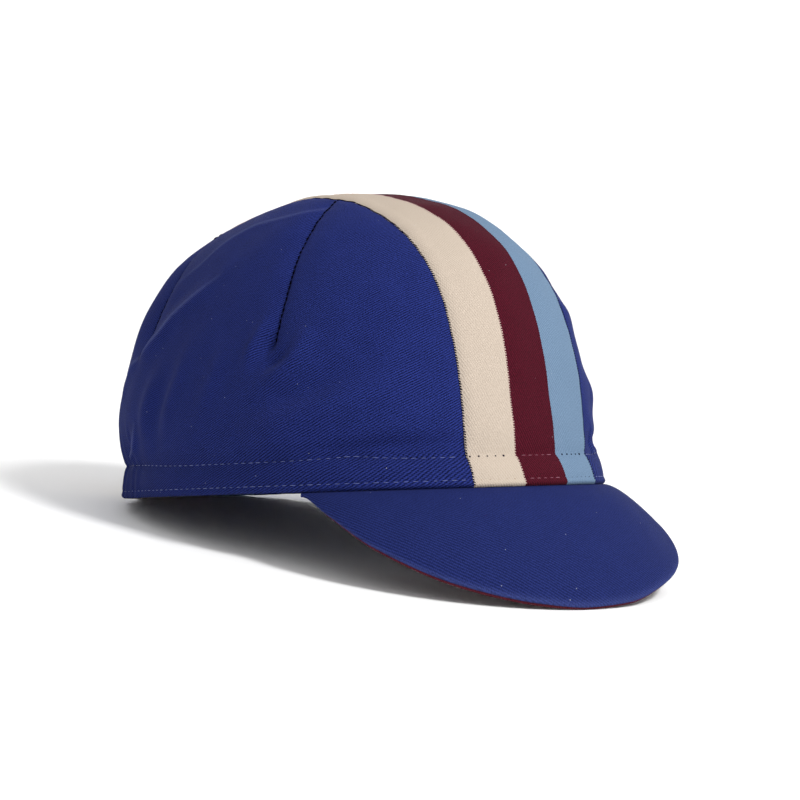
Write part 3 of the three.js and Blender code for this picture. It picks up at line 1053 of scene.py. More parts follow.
class SidePanel(ClothPiece):
    """A navy side panel: one cloth with two darts, from the strip's seam down to the hem."""

    column_step = 1.35
    dome_rows = 104
    hem_rows = 15

    def __init__(self, form: CapForm, relief: Relief) -> None:
        """Args:
        form: the smooth crown.
        relief: its darts, folds and seams.
        """
        super().__init__(form, relief)
        self.hollows = {side.value: self.hollow(side.value) for side in Side}

    def hollow(self, sign: int) -> tuple:
        """How far the seam draws in above the hem, at the front and at the back.

        Args:
            sign: -1 for the wearer's right, 1 for the left.

        Returns:
            The levels, and for each end its turn, its direction and its lean at those levels.
        """
        levels = np.linspace(0, self.form.strip_top(float(sign)) * 0.98, 90)
        ends = []
        for behind, way in ((False, 1), (True, -1)):
            turn = np.abs(self.form.strip_turn(float(sign), levels, behind))
            ends.append((turn[0], way, np.minimum((turn - turn[0]) * way, 0)))
        return levels, ends

    def swayed(self, turn: np.ndarray, level: np.ndarray, sign: int) -> np.ndarray:
        """Turns of the columns at levels, drawn aside to run along the darts and the seam.

        Args:
            turn: turns of the columns at the hem.
            level: levels of their points.
            sign: -1 for the wearer's right, 1 for the left.

        Returns:
            Turns of the points.
        """
        rise = self.form.section(level.ravel())[:, 0].reshape(level.shape)
        away, start = np.degrees(turn), turn
        levels, ends = self.hollows[sign]
        for end, way, lean in ends:
            near = 1 - smooth_step((start - end) * way, 0, math.radians(14))
            turn = turn + way * np.interp(level, levels, lean) * near
        for table, low, high in ((FRONT_DART, 30.0, 96.0), (REAR_DART, 96.0, 156.0)):
            upward = tuple((rise_, turn_) for turn_, rise_ in reversed(table))
            middle = upward[0][1]
            lean = table_value(upward, 1, rise) - middle
            pull = np.interp(away, (low, middle, high), (0.0, 1.0, 0.0))
            turn = turn + np.radians(lean * pull)
        return turn

    def seam_levels(self, columns: np.ndarray, sign: int) -> np.ndarray:
        """Levels at which the columns meet the strip's seam.

        Args:
            columns: turns of the columns at the hem.
            sign: -1 for the wearer's right, 1 for the left.

        Returns:
            The levels.
        """
        form = self.form
        low, high = np.zeros(len(columns)), np.full(len(columns), float(form.top))
        for _ in range(40):
            middle = (low + high) / 2
            p = form.point(self.swayed(columns, middle, sign), middle)
            outside = p[:, 0] > form.strip_half_width(p, float(sign))
            low, high = np.where(outside, middle, low), np.where(outside, high, middle)
        return low

    def column_turns(self, sign: int) -> np.ndarray:
        """Turns of the columns at the hem, closer together beside the darts and corners.

        Args:
            sign: -1 for the wearer's right, 1 for the left.

        Returns:
            The turns in radians.
        """
        form = self.form
        level = np.zeros(1)
        ends = [abs(form.strip_turn(float(sign), level, b)[0]) for b in (False, True)]
        dense = np.linspace(ends[0] + 0.0006, ends[1] - 0.0006, 3000)
        tops = self.seam_levels(dense, sign)
        seam = form.point(self.swayed(dense, tops, sign), tops)
        step = np.linalg.norm(np.diff(seam, axis=0), axis=1) + np.diff(dense) * 45
        middle = np.degrees((dense[1:] + dense[:-1]) / 2)
        finer = np.ones(len(middle))
        for table in (FRONT_DART, REAR_DART):
            finer += 3.2 * bell(middle - table[-1][0], 1.6)
        order = np.concatenate([[0], np.cumsum(step * finer)])
        count = int(order[-1] / self.column_step)
        made = np.interp(np.linspace(0, order[-1], count), order, dense)
        for table in (FRONT_DART, REAR_DART):
            dart = math.radians(table[-1][0])
            made[np.abs(made - dart).argmin()] = dart
        return made

    def row_shares(self) -> np.ndarray:
        """Heights of the rows as shares of the way up, closer together at the seam and hem."""
        dense = np.linspace(0, 1, 2000)
        finer = 1 + 2.2 * bell(dense - 1, 0.02) + 2.0 * bell(dense - 0.012, 0.02)
        order = np.concatenate([[0], np.cumsum((finer[1:] + finer[:-1]) / 2)])
        return np.interp(np.linspace(0, order[-1], self.dome_rows), order, dense)

    def build(self, side: Side) -> bpy.types.Object:
        """Makes the panel.

        Args:
            side: the wearer's side.

        Returns:
            The panel's object.
        """
        form, sign = self.form, side.value
        hem = self.hem_levels(self.hem_rows)
        columns = self.column_turns(sign)
        rows = self.row_shares()
        top = self.seam_levels(columns, sign)
        dome_level = top[None] * rows[::-1, None]
        dome_turn = self.swayed(np.broadcast_to(columns, dome_level.shape), dome_level, sign)
        hem_levels = hem[:-1][::-1]
        first = form.strip_turn(float(sign), hem_levels, False) * sign
        last = form.strip_turn(float(sign), hem_levels, True) * sign
        share = (columns - columns[0]) / (columns[-1] - columns[0])
        hem_turn = first[:, None] + (last - first)[:, None] * share[None]
        hem_level = np.repeat(hem_levels[:, None], len(columns), 1)
        turns = np.vstack([dome_turn, hem_turn]) * sign
        levels = np.vstack([dome_level, hem_level])
        shape = turns.shape
        point = form.point(turns.ravel(), levels.ravel()).reshape(*shape, 3)
        normal = form.normal(turns.ravel(), levels.ravel()).reshape(*shape, 3)
        made = self.layers(point, normal, turns, sign)
        fold = self.fold(made["outer"][-1], made["inner"][-1])
        outer = np.vstack([made["outer"], fold[:2], fold[2:3]])
        inner = np.vstack([made["inner"], fold[4:2:-1], fold[2:3]])
        inner[-1] = (fold[2] + fold[3]) / 2
        ring = np.vstack([outer, inner[::-1]])
        masks = {k: wrapped(made[k], 0, 3) for k in ("wear_and_highlight", "seam")}
        flat = self.flattened(point, sign)
        under = [flat[-1:] - np.array([0.0, ROLL_STEP * k]) for k in (1, 2, 3)]
        flat = np.vstack([flat, *under])
        uv = np.vstack([flat, flat[::-1]])
        return self.finish("visual_panel_" + side.name.lower(), ring, masks, uv, sign)

    def flattened(self, point: np.ndarray, side: int) -> np.ndarray:
        """Cloth coordinates of a side panel, spread flat round a place in front of its middle.

        Args:
            point: (rows, cols, 3) points of the smooth crown.
            side: -1 for the wearer's right, 1 for the left.

        Returns:
            (rows, cols, 2) millimetres on the cloth.
        """
        turn = math.radians(64)
        pole = np.array([side * math.sin(turn), -math.cos(turn), 0.0])
        right = np.cross(-pole, (0, 0, 1.0))
        arm = point - np.array([0, 0, 34.0])
        radius = np.linalg.norm(arm, axis=-1)
        away = np.arccos(np.clip(arm @ pole / radius, -1, 1))
        ahead, up = arm @ right, arm[..., 2]
        scale = away * 90 / np.maximum(np.hypot(ahead, up), 1e-6)
        return np.stack([ahead * scale, up * scale], -1)

    def finish(self, name: str, ring: np.ndarray, masks: dict, uv: np.ndarray, side: int) -> bpy.types.Object:
        """Makes the object from its rings, wound to face out on either side.

        Args:
            name: name of the piece.
            ring: (rows, cols, 3) points, each column a ring.
            masks: (rows, cols) values by attribute name.
            uv: (rows, cols, 2) cloth coordinates.
            side: -1 for the wearer's right, 1 for the left.

        Returns:
            The object.
        """
        rows, cols = ring.shape[:2]
        if side > 0:
            ring, uv = ring[:, ::-1], uv[:, ::-1]
            masks = {k: v[:, ::-1] for k, v in masks.items()}
        faces = MeshMaker.slab(rows, cols)
        masks = {k: by_ring(v) for k, v in masks.items()}
        return MeshMaker.piece(name, self.form.placed(by_ring(ring)), faces, by_ring(uv), masks)


class Stripe(ClothPiece):
    """One stripe of the centre strip, from the front hem over the top to the back hem."""

    columns = 19
    dome_rows = 290
    hem_rows = 15
    mean_width = 0.88

    def build(self, name: str, low: float, high: float) -> bpy.types.Object:
        """Makes a stripe between two shares of the strip's half width.

        Args:
            name: name of the piece.
            low: share at its edge on the wearer's right.
            high: share at its edge on the wearer's left.

        Returns:
            The stripe's object.
        """
        form = self.form
        hem = self.hem_levels(self.hem_rows)
        shares = low + (high - low) * (0.5 - 0.5 * np.cos(np.linspace(0, math.pi, self.columns)))
        lines = [form.strip_line(s if abs(s) > 1e-6 else 1e-6, hem, self.dome_rows) for s in shares]
        point, normal = (np.stack([line[k] for line in lines], 1) for k in ("point", "normal"))
        turn = np.stack([line["turn"] for line in lines], 1)
        travel = np.stack([line["length"] for line in lines], 1)
        made = self.layers(point, normal, turn, 0)
        front = self.fold(made["outer"][0], made["inner"][0])
        back = self.fold(made["outer"][-1], made["inner"][-1])
        outer = np.vstack([front[2:0:-1], front[0:1], made["outer"], back[:3]])
        front_tip, back_tip = ((bend[2:3] + bend[3:4]) / 2 for bend in (front, back))
        inner = np.vstack([front_tip, front[3:5], made["inner"], back[4:2:-1], back_tip])
        ring = np.vstack([outer, inner[::-1]])
        masks = {k: by_ring(wrapped(made[k], 3, 3)) for k in ("wear_and_highlight", "seam")}
        middle = form.sizes.strip_width / 2 * shares
        flat = np.stack([np.repeat(middle[None], len(point), 0) * self.mean_width, travel], -1)
        step = np.array([0.0, ROLL_STEP])
        before = [flat[:1] - k * step for k in (3, 2, 1)]
        after = [flat[-1:] + k * step for k in (1, 2, 3)]
        flat = np.vstack([*before, flat, *after])
        uv = np.vstack([flat, flat[::-1]])
        faces = [f[::-1] for f in MeshMaker.slab(*ring.shape[:2])]
        return MeshMaker.piece(name, form.placed(by_ring(ring)), faces, by_ring(uv), masks)


class PeakLayer:
    """One cloth layer of the peak, with a rolled edge."""

    columns = 150
    rows = 56
    mean_reach = 35

    def __init__(self, form: CapForm) -> None:
        """Args:
        form: the smooth crown and peak.
        """
        self.form = form

    def build(self, name: str, above: float, below: float, spare: float) -> bpy.types.Object:
        """Makes a layer between two depths under the peak's top surface.

        Args:
            name: name of the piece.
            above: depth of its upper face in millimetres.
            below: depth of its lower face.
            spare: how far its edge stands proud of the outline.

        Returns:
            The layer's object.
        """
        along = 0.998 * np.sin(np.linspace(-math.pi / 2, math.pi / 2, self.columns))
        out = 1 - (1 - np.linspace(0, 1, self.rows)) ** 1.35
        a, o = np.meshgrid(along, out)
        shape = a.shape
        point = self.form.peak_point(a.ravel(), o.ravel())
        normal = self.form.peak_normal(a.ravel(), np.maximum(o.ravel(), 0.05))
        swell = 0.2 * ripple(point, 38, 11) * np.sin(o.ravel() * math.pi)
        swell += 0.12 * bell((1 - o.ravel()) * self.form.sizes.peak_reach - 2.5, 1.6)
        point, normal, swell = (v.reshape(*shape, *v.shape[1:]) for v in (point, normal, swell))
        outward = unit(point[-1] - point[-3])
        thin = 0.25 + 0.75 * smooth_step(1 - np.abs(a), 0.0, 0.16)
        above, below = above * thin, below * thin
        roll = (below - above) / 2
        far = 1 - o
        reach = np.linalg.norm(point[-1] - point[0], axis=-1)[None]
        near_edge = np.clip(1 - far * reach / roll, 0, 1)
        pinch = roll * (1 - np.sqrt(np.clip(1 - near_edge**2, 0, 1)))
        upper = point - normal * (above + pinch * 0.9 - swell)[..., None]
        lower = point - normal * (below - pinch * 0.9 - swell)[..., None]
        proud = (spare * (1.4 * smooth_step(1 - np.abs(a), 0.05, 0.4) - 0.4) * o**6)[..., None]
        upper, lower = upper + outward[None] * proud, lower + outward[None] * proud
        ring = np.vstack([upper, lower[::-1]])
        heading = np.concatenate([[0], np.cumsum(np.linalg.norm(np.diff(point[24], axis=0), axis=1))])
        heading -= heading[-1] / 2
        flat = np.stack([np.repeat(heading[None], self.rows, 0), -o * reach], -1)
        uv = np.vstack([flat, flat[::-1]])
        # Paler rim along the rolled edge: rubbed cloth and painted highlight where the edge turns over.
        wear_and_highlight = np.vstack([0.5 * bell((1 - o) * self.mean_reach, 1.0)] * 2)
        # Painted shadow: the peak is darker near its root, under the hem.
        seam = np.vstack([bell(o * self.mean_reach, 1.2)] * 2)
        masks = {"wear_and_highlight": by_ring(wear_and_highlight), "seam": by_ring(seam)}
        faces = MeshMaker.slab(*ring.shape[:2])
        return MeshMaker.piece(name, self.form.placed(by_ring(ring)), faces, by_ring(uv), masks)


# Stitches


@dataclass(frozen=True)
class StitchShape:
    """The visible part of a stitch, in millimetres.

    Args:
        length: its length.
        radius: half its thickness.
        above: height of its middle above the cloth.
        sink: how much deeper some of the stitches lie.
    """

    length: float
    radius: float
    above: float
    sink: float = 0.0


class Thread(Enum):
    """The kinds of stitch on the cap."""

    HEM = StitchShape(2.4, 0.13, 0.05, 0.11)
    KNOT = StitchShape(0.78, 0.37, 0.06)
    # PRICK is a small brownish spot standing for the shadow in a needle hole: painted shadow.
    PRICK = StitchShape(0.5, 0.16, 0.0)
    DART = StitchShape(1.8, 0.29, 0.2)
    TOOTH = StitchShape(1.15, 0.24, 0.1)
    FLOAT = StitchShape(0.8, 0.24, -0.03)


class ClothGround:
    """The made cloth pieces, as the ground that stitches are laid on."""

    def __init__(self, form: CapForm) -> None:
        """Args:
        form: the smooth crown.
        """
        self.form = form
        self.points: list = []
        self.faces: list = []

    def add(self, piece: bpy.types.Object) -> None:
        """Adds a cloth piece to the ground."""
        begin = len(self.points)
        self.points.extend(v.co.copy() for v in piece.data.vertices)
        self.faces.extend([begin + i for i in p.vertices] for p in piece.data.polygons)

    def close(self) -> None:
        """Makes the search tree once every piece is in."""
        self.tree = BVHTree.FromPolygons(self.points, self.faces)

    def drop(self, point: np.ndarray, normal: np.ndarray, above: float) -> np.ndarray:
        """Lets points down on the cloth.

        Args:
            point: (n, 3) places near the cloth in the cap's frame.
            normal: outward directions there.
            above: how far above the cloth to stop, in millimetres.

        Returns:
            (n, 3) places in metres in the row's frame.
        """
        place, out = self.form.placed(point), self.form.turned(normal)
        made = []
        for p, n in zip(place, out):
            start, way = Vector(p + n * 4 * MM), Vector(-n)
            hit = self.tree.ray_cast(start, way, 8 * MM)[0]
            made.append((hit if hit else Vector(p)) + Vector(n) * above * MM)
        return np.array(made)


class StitchRows:
    """Rows of stitches, laid on points by Geometry Nodes and made plain meshes."""

    def __init__(self, form: CapForm, relief: Relief, ground: ClothGround) -> None:
        """Args:
        form: the smooth crown.
        relief: its darts, folds and seams.
        ground: the cloth that the stitches lie on.
        """
        self.form = form
        self.relief = relief
        self.ground = ground
        self.tree = self.make_tree()

    @staticmethod
    def make_tree() -> bpy.types.NodeTree:
        """The node group that lays one stitch on every point, turned by its own attributes."""
        tree = bpy.data.node_groups.new("LayStitches", "GeometryNodeTree")
        face = tree.interface
        face.new_socket("Points", in_out="INPUT", socket_type="NodeSocketGeometry")
        face.new_socket("Length", in_out="INPUT", socket_type="NodeSocketFloat")
        face.new_socket("Radius", in_out="INPUT", socket_type="NodeSocketFloat")
        face.new_socket("Material", in_out="INPUT", socket_type="NodeSocketMaterial")
        face.new_socket("Stitches", in_out="OUTPUT", socket_type="NodeSocketGeometry")
        node, link = tree.nodes.new, tree.links.new
        enter, leave = node("NodeGroupInput"), node("NodeGroupOutput")
        ball = node("GeometryNodeMeshUVSphere")
        ball.inputs["Segments"].default_value = 8
        ball.inputs["Rings"].default_value = 6
        ball.inputs["Radius"].default_value = 1.0
        size = node("ShaderNodeCombineXYZ")
        half = node("ShaderNodeMath")
        half.operation = "MULTIPLY"
        half.inputs[1].default_value = 0.5
        link(enter.outputs["Length"], half.inputs[0])
        link(half.outputs[0], size.inputs["X"])
        link(enter.outputs["Radius"], size.inputs["Y"])
        link(enter.outputs["Radius"], size.inputs["Z"])
        shape = node("GeometryNodeTransform")
        link(ball.outputs["Mesh"], shape.inputs["Geometry"])
        link(size.outputs[0], shape.inputs["Scale"])
        turn = node("GeometryNodeInputNamedAttribute")
        turn.data_type = "FLOAT_VECTOR"
        turn.inputs["Name"].default_value = "turn"
        grow = node("GeometryNodeInputNamedAttribute")
        grow.data_type = "FLOAT"
        grow.inputs["Name"].default_value = "grow"
        lay = node("GeometryNodeInstanceOnPoints")
        link(enter.outputs["Points"], lay.inputs["Points"])
        link(shape.outputs["Geometry"], lay.inputs["Instance"])
        link(turn.outputs["Attribute"], lay.inputs["Rotation"])
        link(grow.outputs["Attribute"], lay.inputs["Scale"])
        real = node("GeometryNodeRealizeInstances")
        paint = node("GeometryNodeSetMaterial")
        smooth = node("GeometryNodeSetShadeSmooth")
        link(lay.outputs["Instances"], real.inputs["Geometry"])
        link(real.outputs["Geometry"], smooth.inputs["Geometry"])
        link(smooth.outputs["Geometry"], paint.inputs["Geometry"])
        link(enter.outputs["Material"], paint.inputs["Material"])
        link(paint.outputs["Geometry"], leave.inputs["Stitches"])
        return tree

    def lay(
        self,
        name: str,
        point: np.ndarray,
        normal: np.ndarray,
        way: np.ndarray,
        thread: Thread,
        material: bpy.types.Material,
    ) -> bpy.types.Object:
        """Lays stitches at points.

        Args:
            name: name of the piece.
            point: (n, 3) places in the cap's frame.
            normal: outward directions there.
            way: directions that the stitches run in.
            thread: their shape.
            material: their material.

        Returns:
            One mesh object of all of them.
        """
        shape = thread.value
        place = self.ground.drop(point, normal, shape.above)
        out, run = self.form.turned(normal), self.form.turned(way)
        run = unit(run - out * (run * out).sum(1, keepdims=True))
        side = np.cross(out, run)
        rng = np.random.default_rng(len(point))
        place = place - out * rng.uniform(0, 1, (len(point), 1)) * shape.sink * MM
        turns = []
        for x, y, z in zip(run, side, out):
            turns.append(Matrix((x, y, z)).transposed().to_euler("XYZ")[:])
        mesh = bpy.data.meshes.new(name)
        mesh.from_pydata(place.tolist(), [], [])
        turned = mesh.attributes.new("turn", "FLOAT_VECTOR", "POINT")
        turned.data.foreach_set("vector", np.array(turns, np.float32).ravel())
        grown = rng.uniform(0.75, 1.1, len(point)).astype(np.float32)
        mesh.attributes.new("grow", "FLOAT", "POINT").data.foreach_set("value", grown)
        rows = bpy.data.objects.new(name + "_points", mesh)
        bpy.context.scene.collection.objects.link(rows)
        lay = rows.modifiers.new("lay", "NODES")
        lay.node_group = self.tree
        values = {"Length": shape.length * MM, "Radius": shape.radius * MM, "Material": material}
        for item in self.tree.interface.items_tree:
            if item.item_type == "SOCKET" and item.in_out == "INPUT" and item.name in values:
                lay[item.identifier] = values[item.name]
        graph = bpy.context.evaluated_depsgraph_get()
        made = bpy.data.meshes.new_from_object(rows.evaluated_get(graph), depsgraph=graph)
        bpy.data.objects.remove(rows, do_unlink=True)
        obj = bpy.data.objects.new(name, made)
        bpy.context.scene.collection.objects.link(obj)
        return obj

    @staticmethod
    def along(point: np.ndarray, pitch: float) -> np.ndarray:
        """Indices of a dense line's points at even steps.

        Args:
            point: (n, 3) points of the line.
            pitch: distance between steps.

        Returns:
            The indices.
        """
        length = np.concatenate([[0], np.cumsum(np.linalg.norm(np.diff(point, axis=0), axis=1))])
        at = np.arange(pitch / 2, length[-1] - pitch / 4, pitch)
        return np.clip(np.searchsorted(length, at), 1, len(point) - 2)

    def hem_row(
        self,
        name: str,
        turns: tuple,
        height: float,
        thread: Thread,
        pitch: float,
        material: bpy.types.Material,
    ) -> bpy.types.Object:
        """A row round the hem between two turns.

        Args:
            name: name of the piece.
            turns: first and last turn in degrees.
            height: height above the rim, or 0 for the hem's upper row.
            thread: shape of the stitches.
            pitch: distance between stitches.
            material: the thread's material.

        Returns:
            The row's object.
        """
        turn = np.radians(np.linspace(turns[0], turns[1], 4000))
        z = np.full_like(turn, height) if height else self.relief.hem_line(turn)
        form = self.form
        level = np.where(z < form.sizes.hem_height, z / form.sizes.hem_height - 1, 0)
        over = z > form.sizes.hem_height
        level[over] = form.level_at(z[over] / form.sizes.crown_height)
        point, normal = form.point(turn, level), form.normal(turn, level)
        pick = self.along(point, pitch)
        way = unit(point[pick + 1] - point[pick - 1])
        return self.lay(name, point[pick], normal[pick], way, thread, material)

    def dart_row(self, name: str, table: tuple, side: int, material: bpy.types.Material) -> bpy.types.Object:
        """The dark stitches along a dart.

        Args:
            name: name of the piece.
            table: the dart's (turn, rise) rows.
            side: -1 for the wearer's right, 1 for the left.
            material: the thread's material.

        Returns:
            The row's object.
        """
        turn, level = self.form.path_angles(table, side, 1500)
        point, normal = self.form.point(turn, level), self.form.normal(turn, level)
        outside = np.abs(point[:, 0]) > self.form.strip_half_width(point, float(side)) + 0.5
        point, normal = point[outside], normal[outside]
        pick = self.along(point, 2.25)
        way = unit(point[pick + 1] - point[pick - 1])
        return self.lay(name, point[pick], normal[pick], way, Thread.DART, material)

    def seam_teeth(
        self, name: str, share: float, lean: float, pitch: float, material: bpy.types.Material, thread: Thread
    ) -> bpy.types.Object:
        """Short stitches that cross a seam of the strip.

        Args:
            name: name of the piece.
            share: the seam's place across the strip, from -1 to 1.
            lean: how far they lean along the seam, in radians.
            pitch: distance between stitches.
            material: the thread's material.
            thread: shape of the stitches.

        Returns:
            The row's object.
        """
        line = self.form.strip_line(share, np.linspace(-0.98, 0, 40), 4000)
        pick = self.along(line["point"], pitch)
        point, normal = line["point"][pick], line["normal"][pick]
        run = unit(line["point"][pick + 1] - line["point"][pick - 1])
        side = np.cross(normal, run)
        way = unit(side * math.cos(lean) + run * math.sin(lean))
        inward = np.zeros_like(point)
        inward[:, 0] = -math.copysign(1, share)
        return self.lay(name, point + inward * 0.2, normal, way, thread, material)


# Materials


LINT_COLOUR = (0.55, 0.58, 0.66)
FUZZ_TINT = (0.75, 0.78, 1.0)


class Paint:
    """Builds the materials from shared node groups."""

    def __init__(self) -> None:
        """Makes the shared groups once."""
        self.weave = self.weave_group()
        self.dust = self.dust_group()

    @staticmethod
    def group(name: str, inputs: dict, outputs: dict) -> tuple:
        """A new shader group with named sockets.

        Args:
            name: name of the group.
            inputs: socket types by name.
            outputs: socket types by name.

        Returns:
            The tree, its input node and its output node.
        """
        tree = bpy.data.node_groups.new(name, "ShaderNodeTree")
        for key, kind in inputs.items():
            tree.interface.new_socket(key, in_out="INPUT", socket_type=kind)
        for key, kind in outputs.items():
            tree.interface.new_socket(key, in_out="OUTPUT", socket_type=kind)
        return tree, tree.nodes.new("NodeGroupInput"), tree.nodes.new("NodeGroupOutput")

    @staticmethod
    def math(
        tree: bpy.types.NodeTree, operation: str, a: object, b: object = None, c: object = None
    ) -> bpy.types.NodeSocket:
        """A Math node on sockets or numbers.

        Args:
            tree: the tree it is added to.
            operation: name of the operation.
            a: first value, as are b and c where it has them.

        Returns:
            Its output.
        """
        node = tree.nodes.new("ShaderNodeMath")
        node.operation = operation
        for i, value in enumerate((a, b, c)):
            if value is None:
                continue
            if isinstance(value, (int, float)):
                node.inputs[i].default_value = value
            else:
                tree.links.new(value, node.inputs[i])
        return node.outputs[0]

    def weave_group(self) -> bpy.types.NodeTree:
        """Twill: diagonal ridges of short floats, from cloth coordinates in millimetres."""
        tree, enter, leave = self.group(
            "TwillWeave",
            {"Cloth": "NodeSocketVector", "Pitch": "NodeSocketFloat", "Angle": "NodeSocketFloat"},
            {"Ridge": "NodeSocketFloat", "Float": "NodeSocketFloat", "Yarn": "NodeSocketFloat"},
        )
        link = tree.links.new
        warp = tree.nodes.new("ShaderNodeTexNoise")
        warp.inputs["Scale"].default_value = 0.045
        warp.inputs["Detail"].default_value = 2.0
        link(enter.outputs["Cloth"], warp.inputs["Vector"])
        sway = tree.nodes.new("ShaderNodeVectorMath")
        sway.operation = "MULTIPLY_ADD"
        link(warp.outputs["Color"], sway.inputs[0])
        sway.inputs[1].default_value = (1.8, 1.8, 0.0)
        link(enter.outputs["Cloth"], sway.inputs[2])
        split = tree.nodes.new("ShaderNodeSeparateXYZ")
        link(sway.outputs[0], split.inputs[0])
        u, v = split.outputs["X"], split.outputs["Y"]
        cosine = self.math(tree, "COSINE", enter.outputs["Angle"])
        sine = self.math(tree, "SINE", enter.outputs["Angle"])
        v_cosine, u_sine = self.math(tree, "MULTIPLY", v, cosine), self.math(tree, "MULTIPLY", u, sine)
        across = self.math(tree, "SUBTRACT", v_cosine, u_sine)
        u_cosine, v_sine = self.math(tree, "MULTIPLY", u, cosine), self.math(tree, "MULTIPLY", v, sine)
        along = self.math(tree, "ADD", u_cosine, v_sine)
        step = self.math(tree, "DIVIDE", TAU, enter.outputs["Pitch"])
        wave = self.math(tree, "SINE", self.math(tree, "MULTIPLY", across, step))
        ridge = self.math(tree, "MULTIPLY_ADD", wave, 0.5, 0.5)
        run, rise = self.math(tree, "MULTIPLY", along, step), self.math(tree, "MULTIPLY", across, step)
        shifted = self.math(tree, "ADD", run, rise)
        float_ = self.math(tree, "MULTIPLY_ADD", self.math(tree, "SINE", shifted), 0.5, 0.5)
        yarn = tree.nodes.new("ShaderNodeTexNoise")
        yarn.inputs["Scale"].default_value = 1.9
        yarn.inputs["Detail"].default_value = 3.0
        link(enter.outputs["Cloth"], yarn.inputs["Vector"])
        link(ridge, leave.inputs["Ridge"])
        link(float_, leave.inputs["Float"])
        link(yarn.outputs["Fac"], leave.inputs["Yarn"])
        return tree

    def dust_group(self) -> bpy.types.NodeTree:
        """Soft mottling and rare lint specks, from cloth coordinates in millimetres."""
        tree, enter, leave = self.group(
            "ClothDust",
            {"Cloth": "NodeSocketVector"},
            {"Mottle": "NodeSocketFloat", "Lint": "NodeSocketFloat"},
        )
        link = tree.links.new
        mottle = tree.nodes.new("ShaderNodeTexNoise")
        mottle.inputs["Scale"].default_value = 0.12
        mottle.inputs["Detail"].default_value = 4.0
        link(enter.outputs["Cloth"], mottle.inputs["Vector"])
        cells = tree.nodes.new("ShaderNodeTexVoronoi")
        cells.feature = "F1"
        cells.inputs["Scale"].default_value = 0.22
        cells.inputs["Randomness"].default_value = 1.0
        link(enter.outputs["Cloth"], cells.inputs["Vector"])
        near = self.math(tree, "LESS_THAN", cells.outputs["Distance"], 0.036)
        tint = tree.nodes.new("ShaderNodeSeparateColor")
        link(cells.outputs["Color"], tint.inputs[0])
        some = self.math(tree, "GREATER_THAN", tint.outputs[0], 0.6)
        link(mottle.outputs["Fac"], leave.inputs["Mottle"])
        link(self.math(tree, "MULTIPLY", near, some), leave.inputs["Lint"])
        return tree

    @staticmethod
    def mix(tree: bpy.types.NodeTree, factor: object, a: object, b: object) -> bpy.types.NodeSocket:
        """Mixes two colours.

        Args:
            tree: the tree the Mix node is added to.
            factor: share of b, as a number or socket.
            a: first colour, as a tuple or socket.
            b: second colour, as a tuple or socket.

        Returns:
            The mixed colour's socket.
        """
        node = tree.nodes.new("ShaderNodeMix")
        node.data_type = "RGBA"
        for socket, value in ((node.inputs[0], factor), (node.inputs[6], a), (node.inputs[7], b)):
            if isinstance(value, (int, float)):
                socket.default_value = value
            elif isinstance(value, tuple):
                socket.default_value = (*value, 1.0)
            else:
                tree.links.new(value, socket)
        return node.outputs[2]

    def twill(self, cloth: Twill) -> bpy.types.Material:
        """The material of a twill cloth.

        Args:
            cloth: how it is woven and coloured.

        Returns:
            The material.
        """
        made = bpy.data.materials.new(cloth.name)
        made.use_nodes = True
        tree = made.node_tree
        tree.nodes.clear()
        link = tree.links.new
        out = tree.nodes.new("ShaderNodeOutputMaterial")
        shader = tree.nodes.new("ShaderNodeBsdfPrincipled")
        link(shader.outputs["BSDF"], out.inputs["Surface"])
        coords = tree.nodes.new("ShaderNodeUVMap")
        coords.uv_map = "cloth"
        weave = tree.nodes.new("ShaderNodeGroup")
        weave.node_tree = self.weave
        weave.inputs["Pitch"].default_value = cloth.pitch
        weave.inputs["Angle"].default_value = math.radians(cloth.angle)
        dust = tree.nodes.new("ShaderNodeGroup")
        dust.node_tree = self.dust
        link(coords.outputs["UV"], weave.inputs["Cloth"])
        link(coords.outputs["UV"], dust.inputs["Cloth"])
        ridge, float_ = weave.outputs["Ridge"], weave.outputs["Float"]
        bright = self.math(tree, "MULTIPLY_ADD", ridge, 0.68, -1.015)
        bright = self.math(tree, "MULTIPLY_ADD", float_, 0.35, bright)
        bright = self.math(tree, "MULTIPLY_ADD", weave.outputs["Yarn"], 1.8, bright)
        bright = self.math(tree, "MULTIPLY_ADD", dust.outputs["Mottle"], 0.2, bright)
        colour = self.mix(tree, bright, cloth.dark, cloth.base)
        wear_and_highlight = tree.nodes.new("ShaderNodeAttribute")
        wear_and_highlight.attribute_name = "wear_and_highlight"
        seam = tree.nodes.new("ShaderNodeAttribute")
        seam.attribute_name = "seam"
        # Pales the crests towards the pale crest colour: partly rubbed cloth, partly painted highlight.
        patchy = self.math(tree, "MULTIPLY_ADD", weave.outputs["Yarn"], 0.8, 0.1)
        rubbed = self.math(tree, "MULTIPLY", wear_and_highlight.outputs["Fac"], patchy)
        colour = self.mix(tree, rubbed, colour, cloth.rubbed_and_highlight_colour)
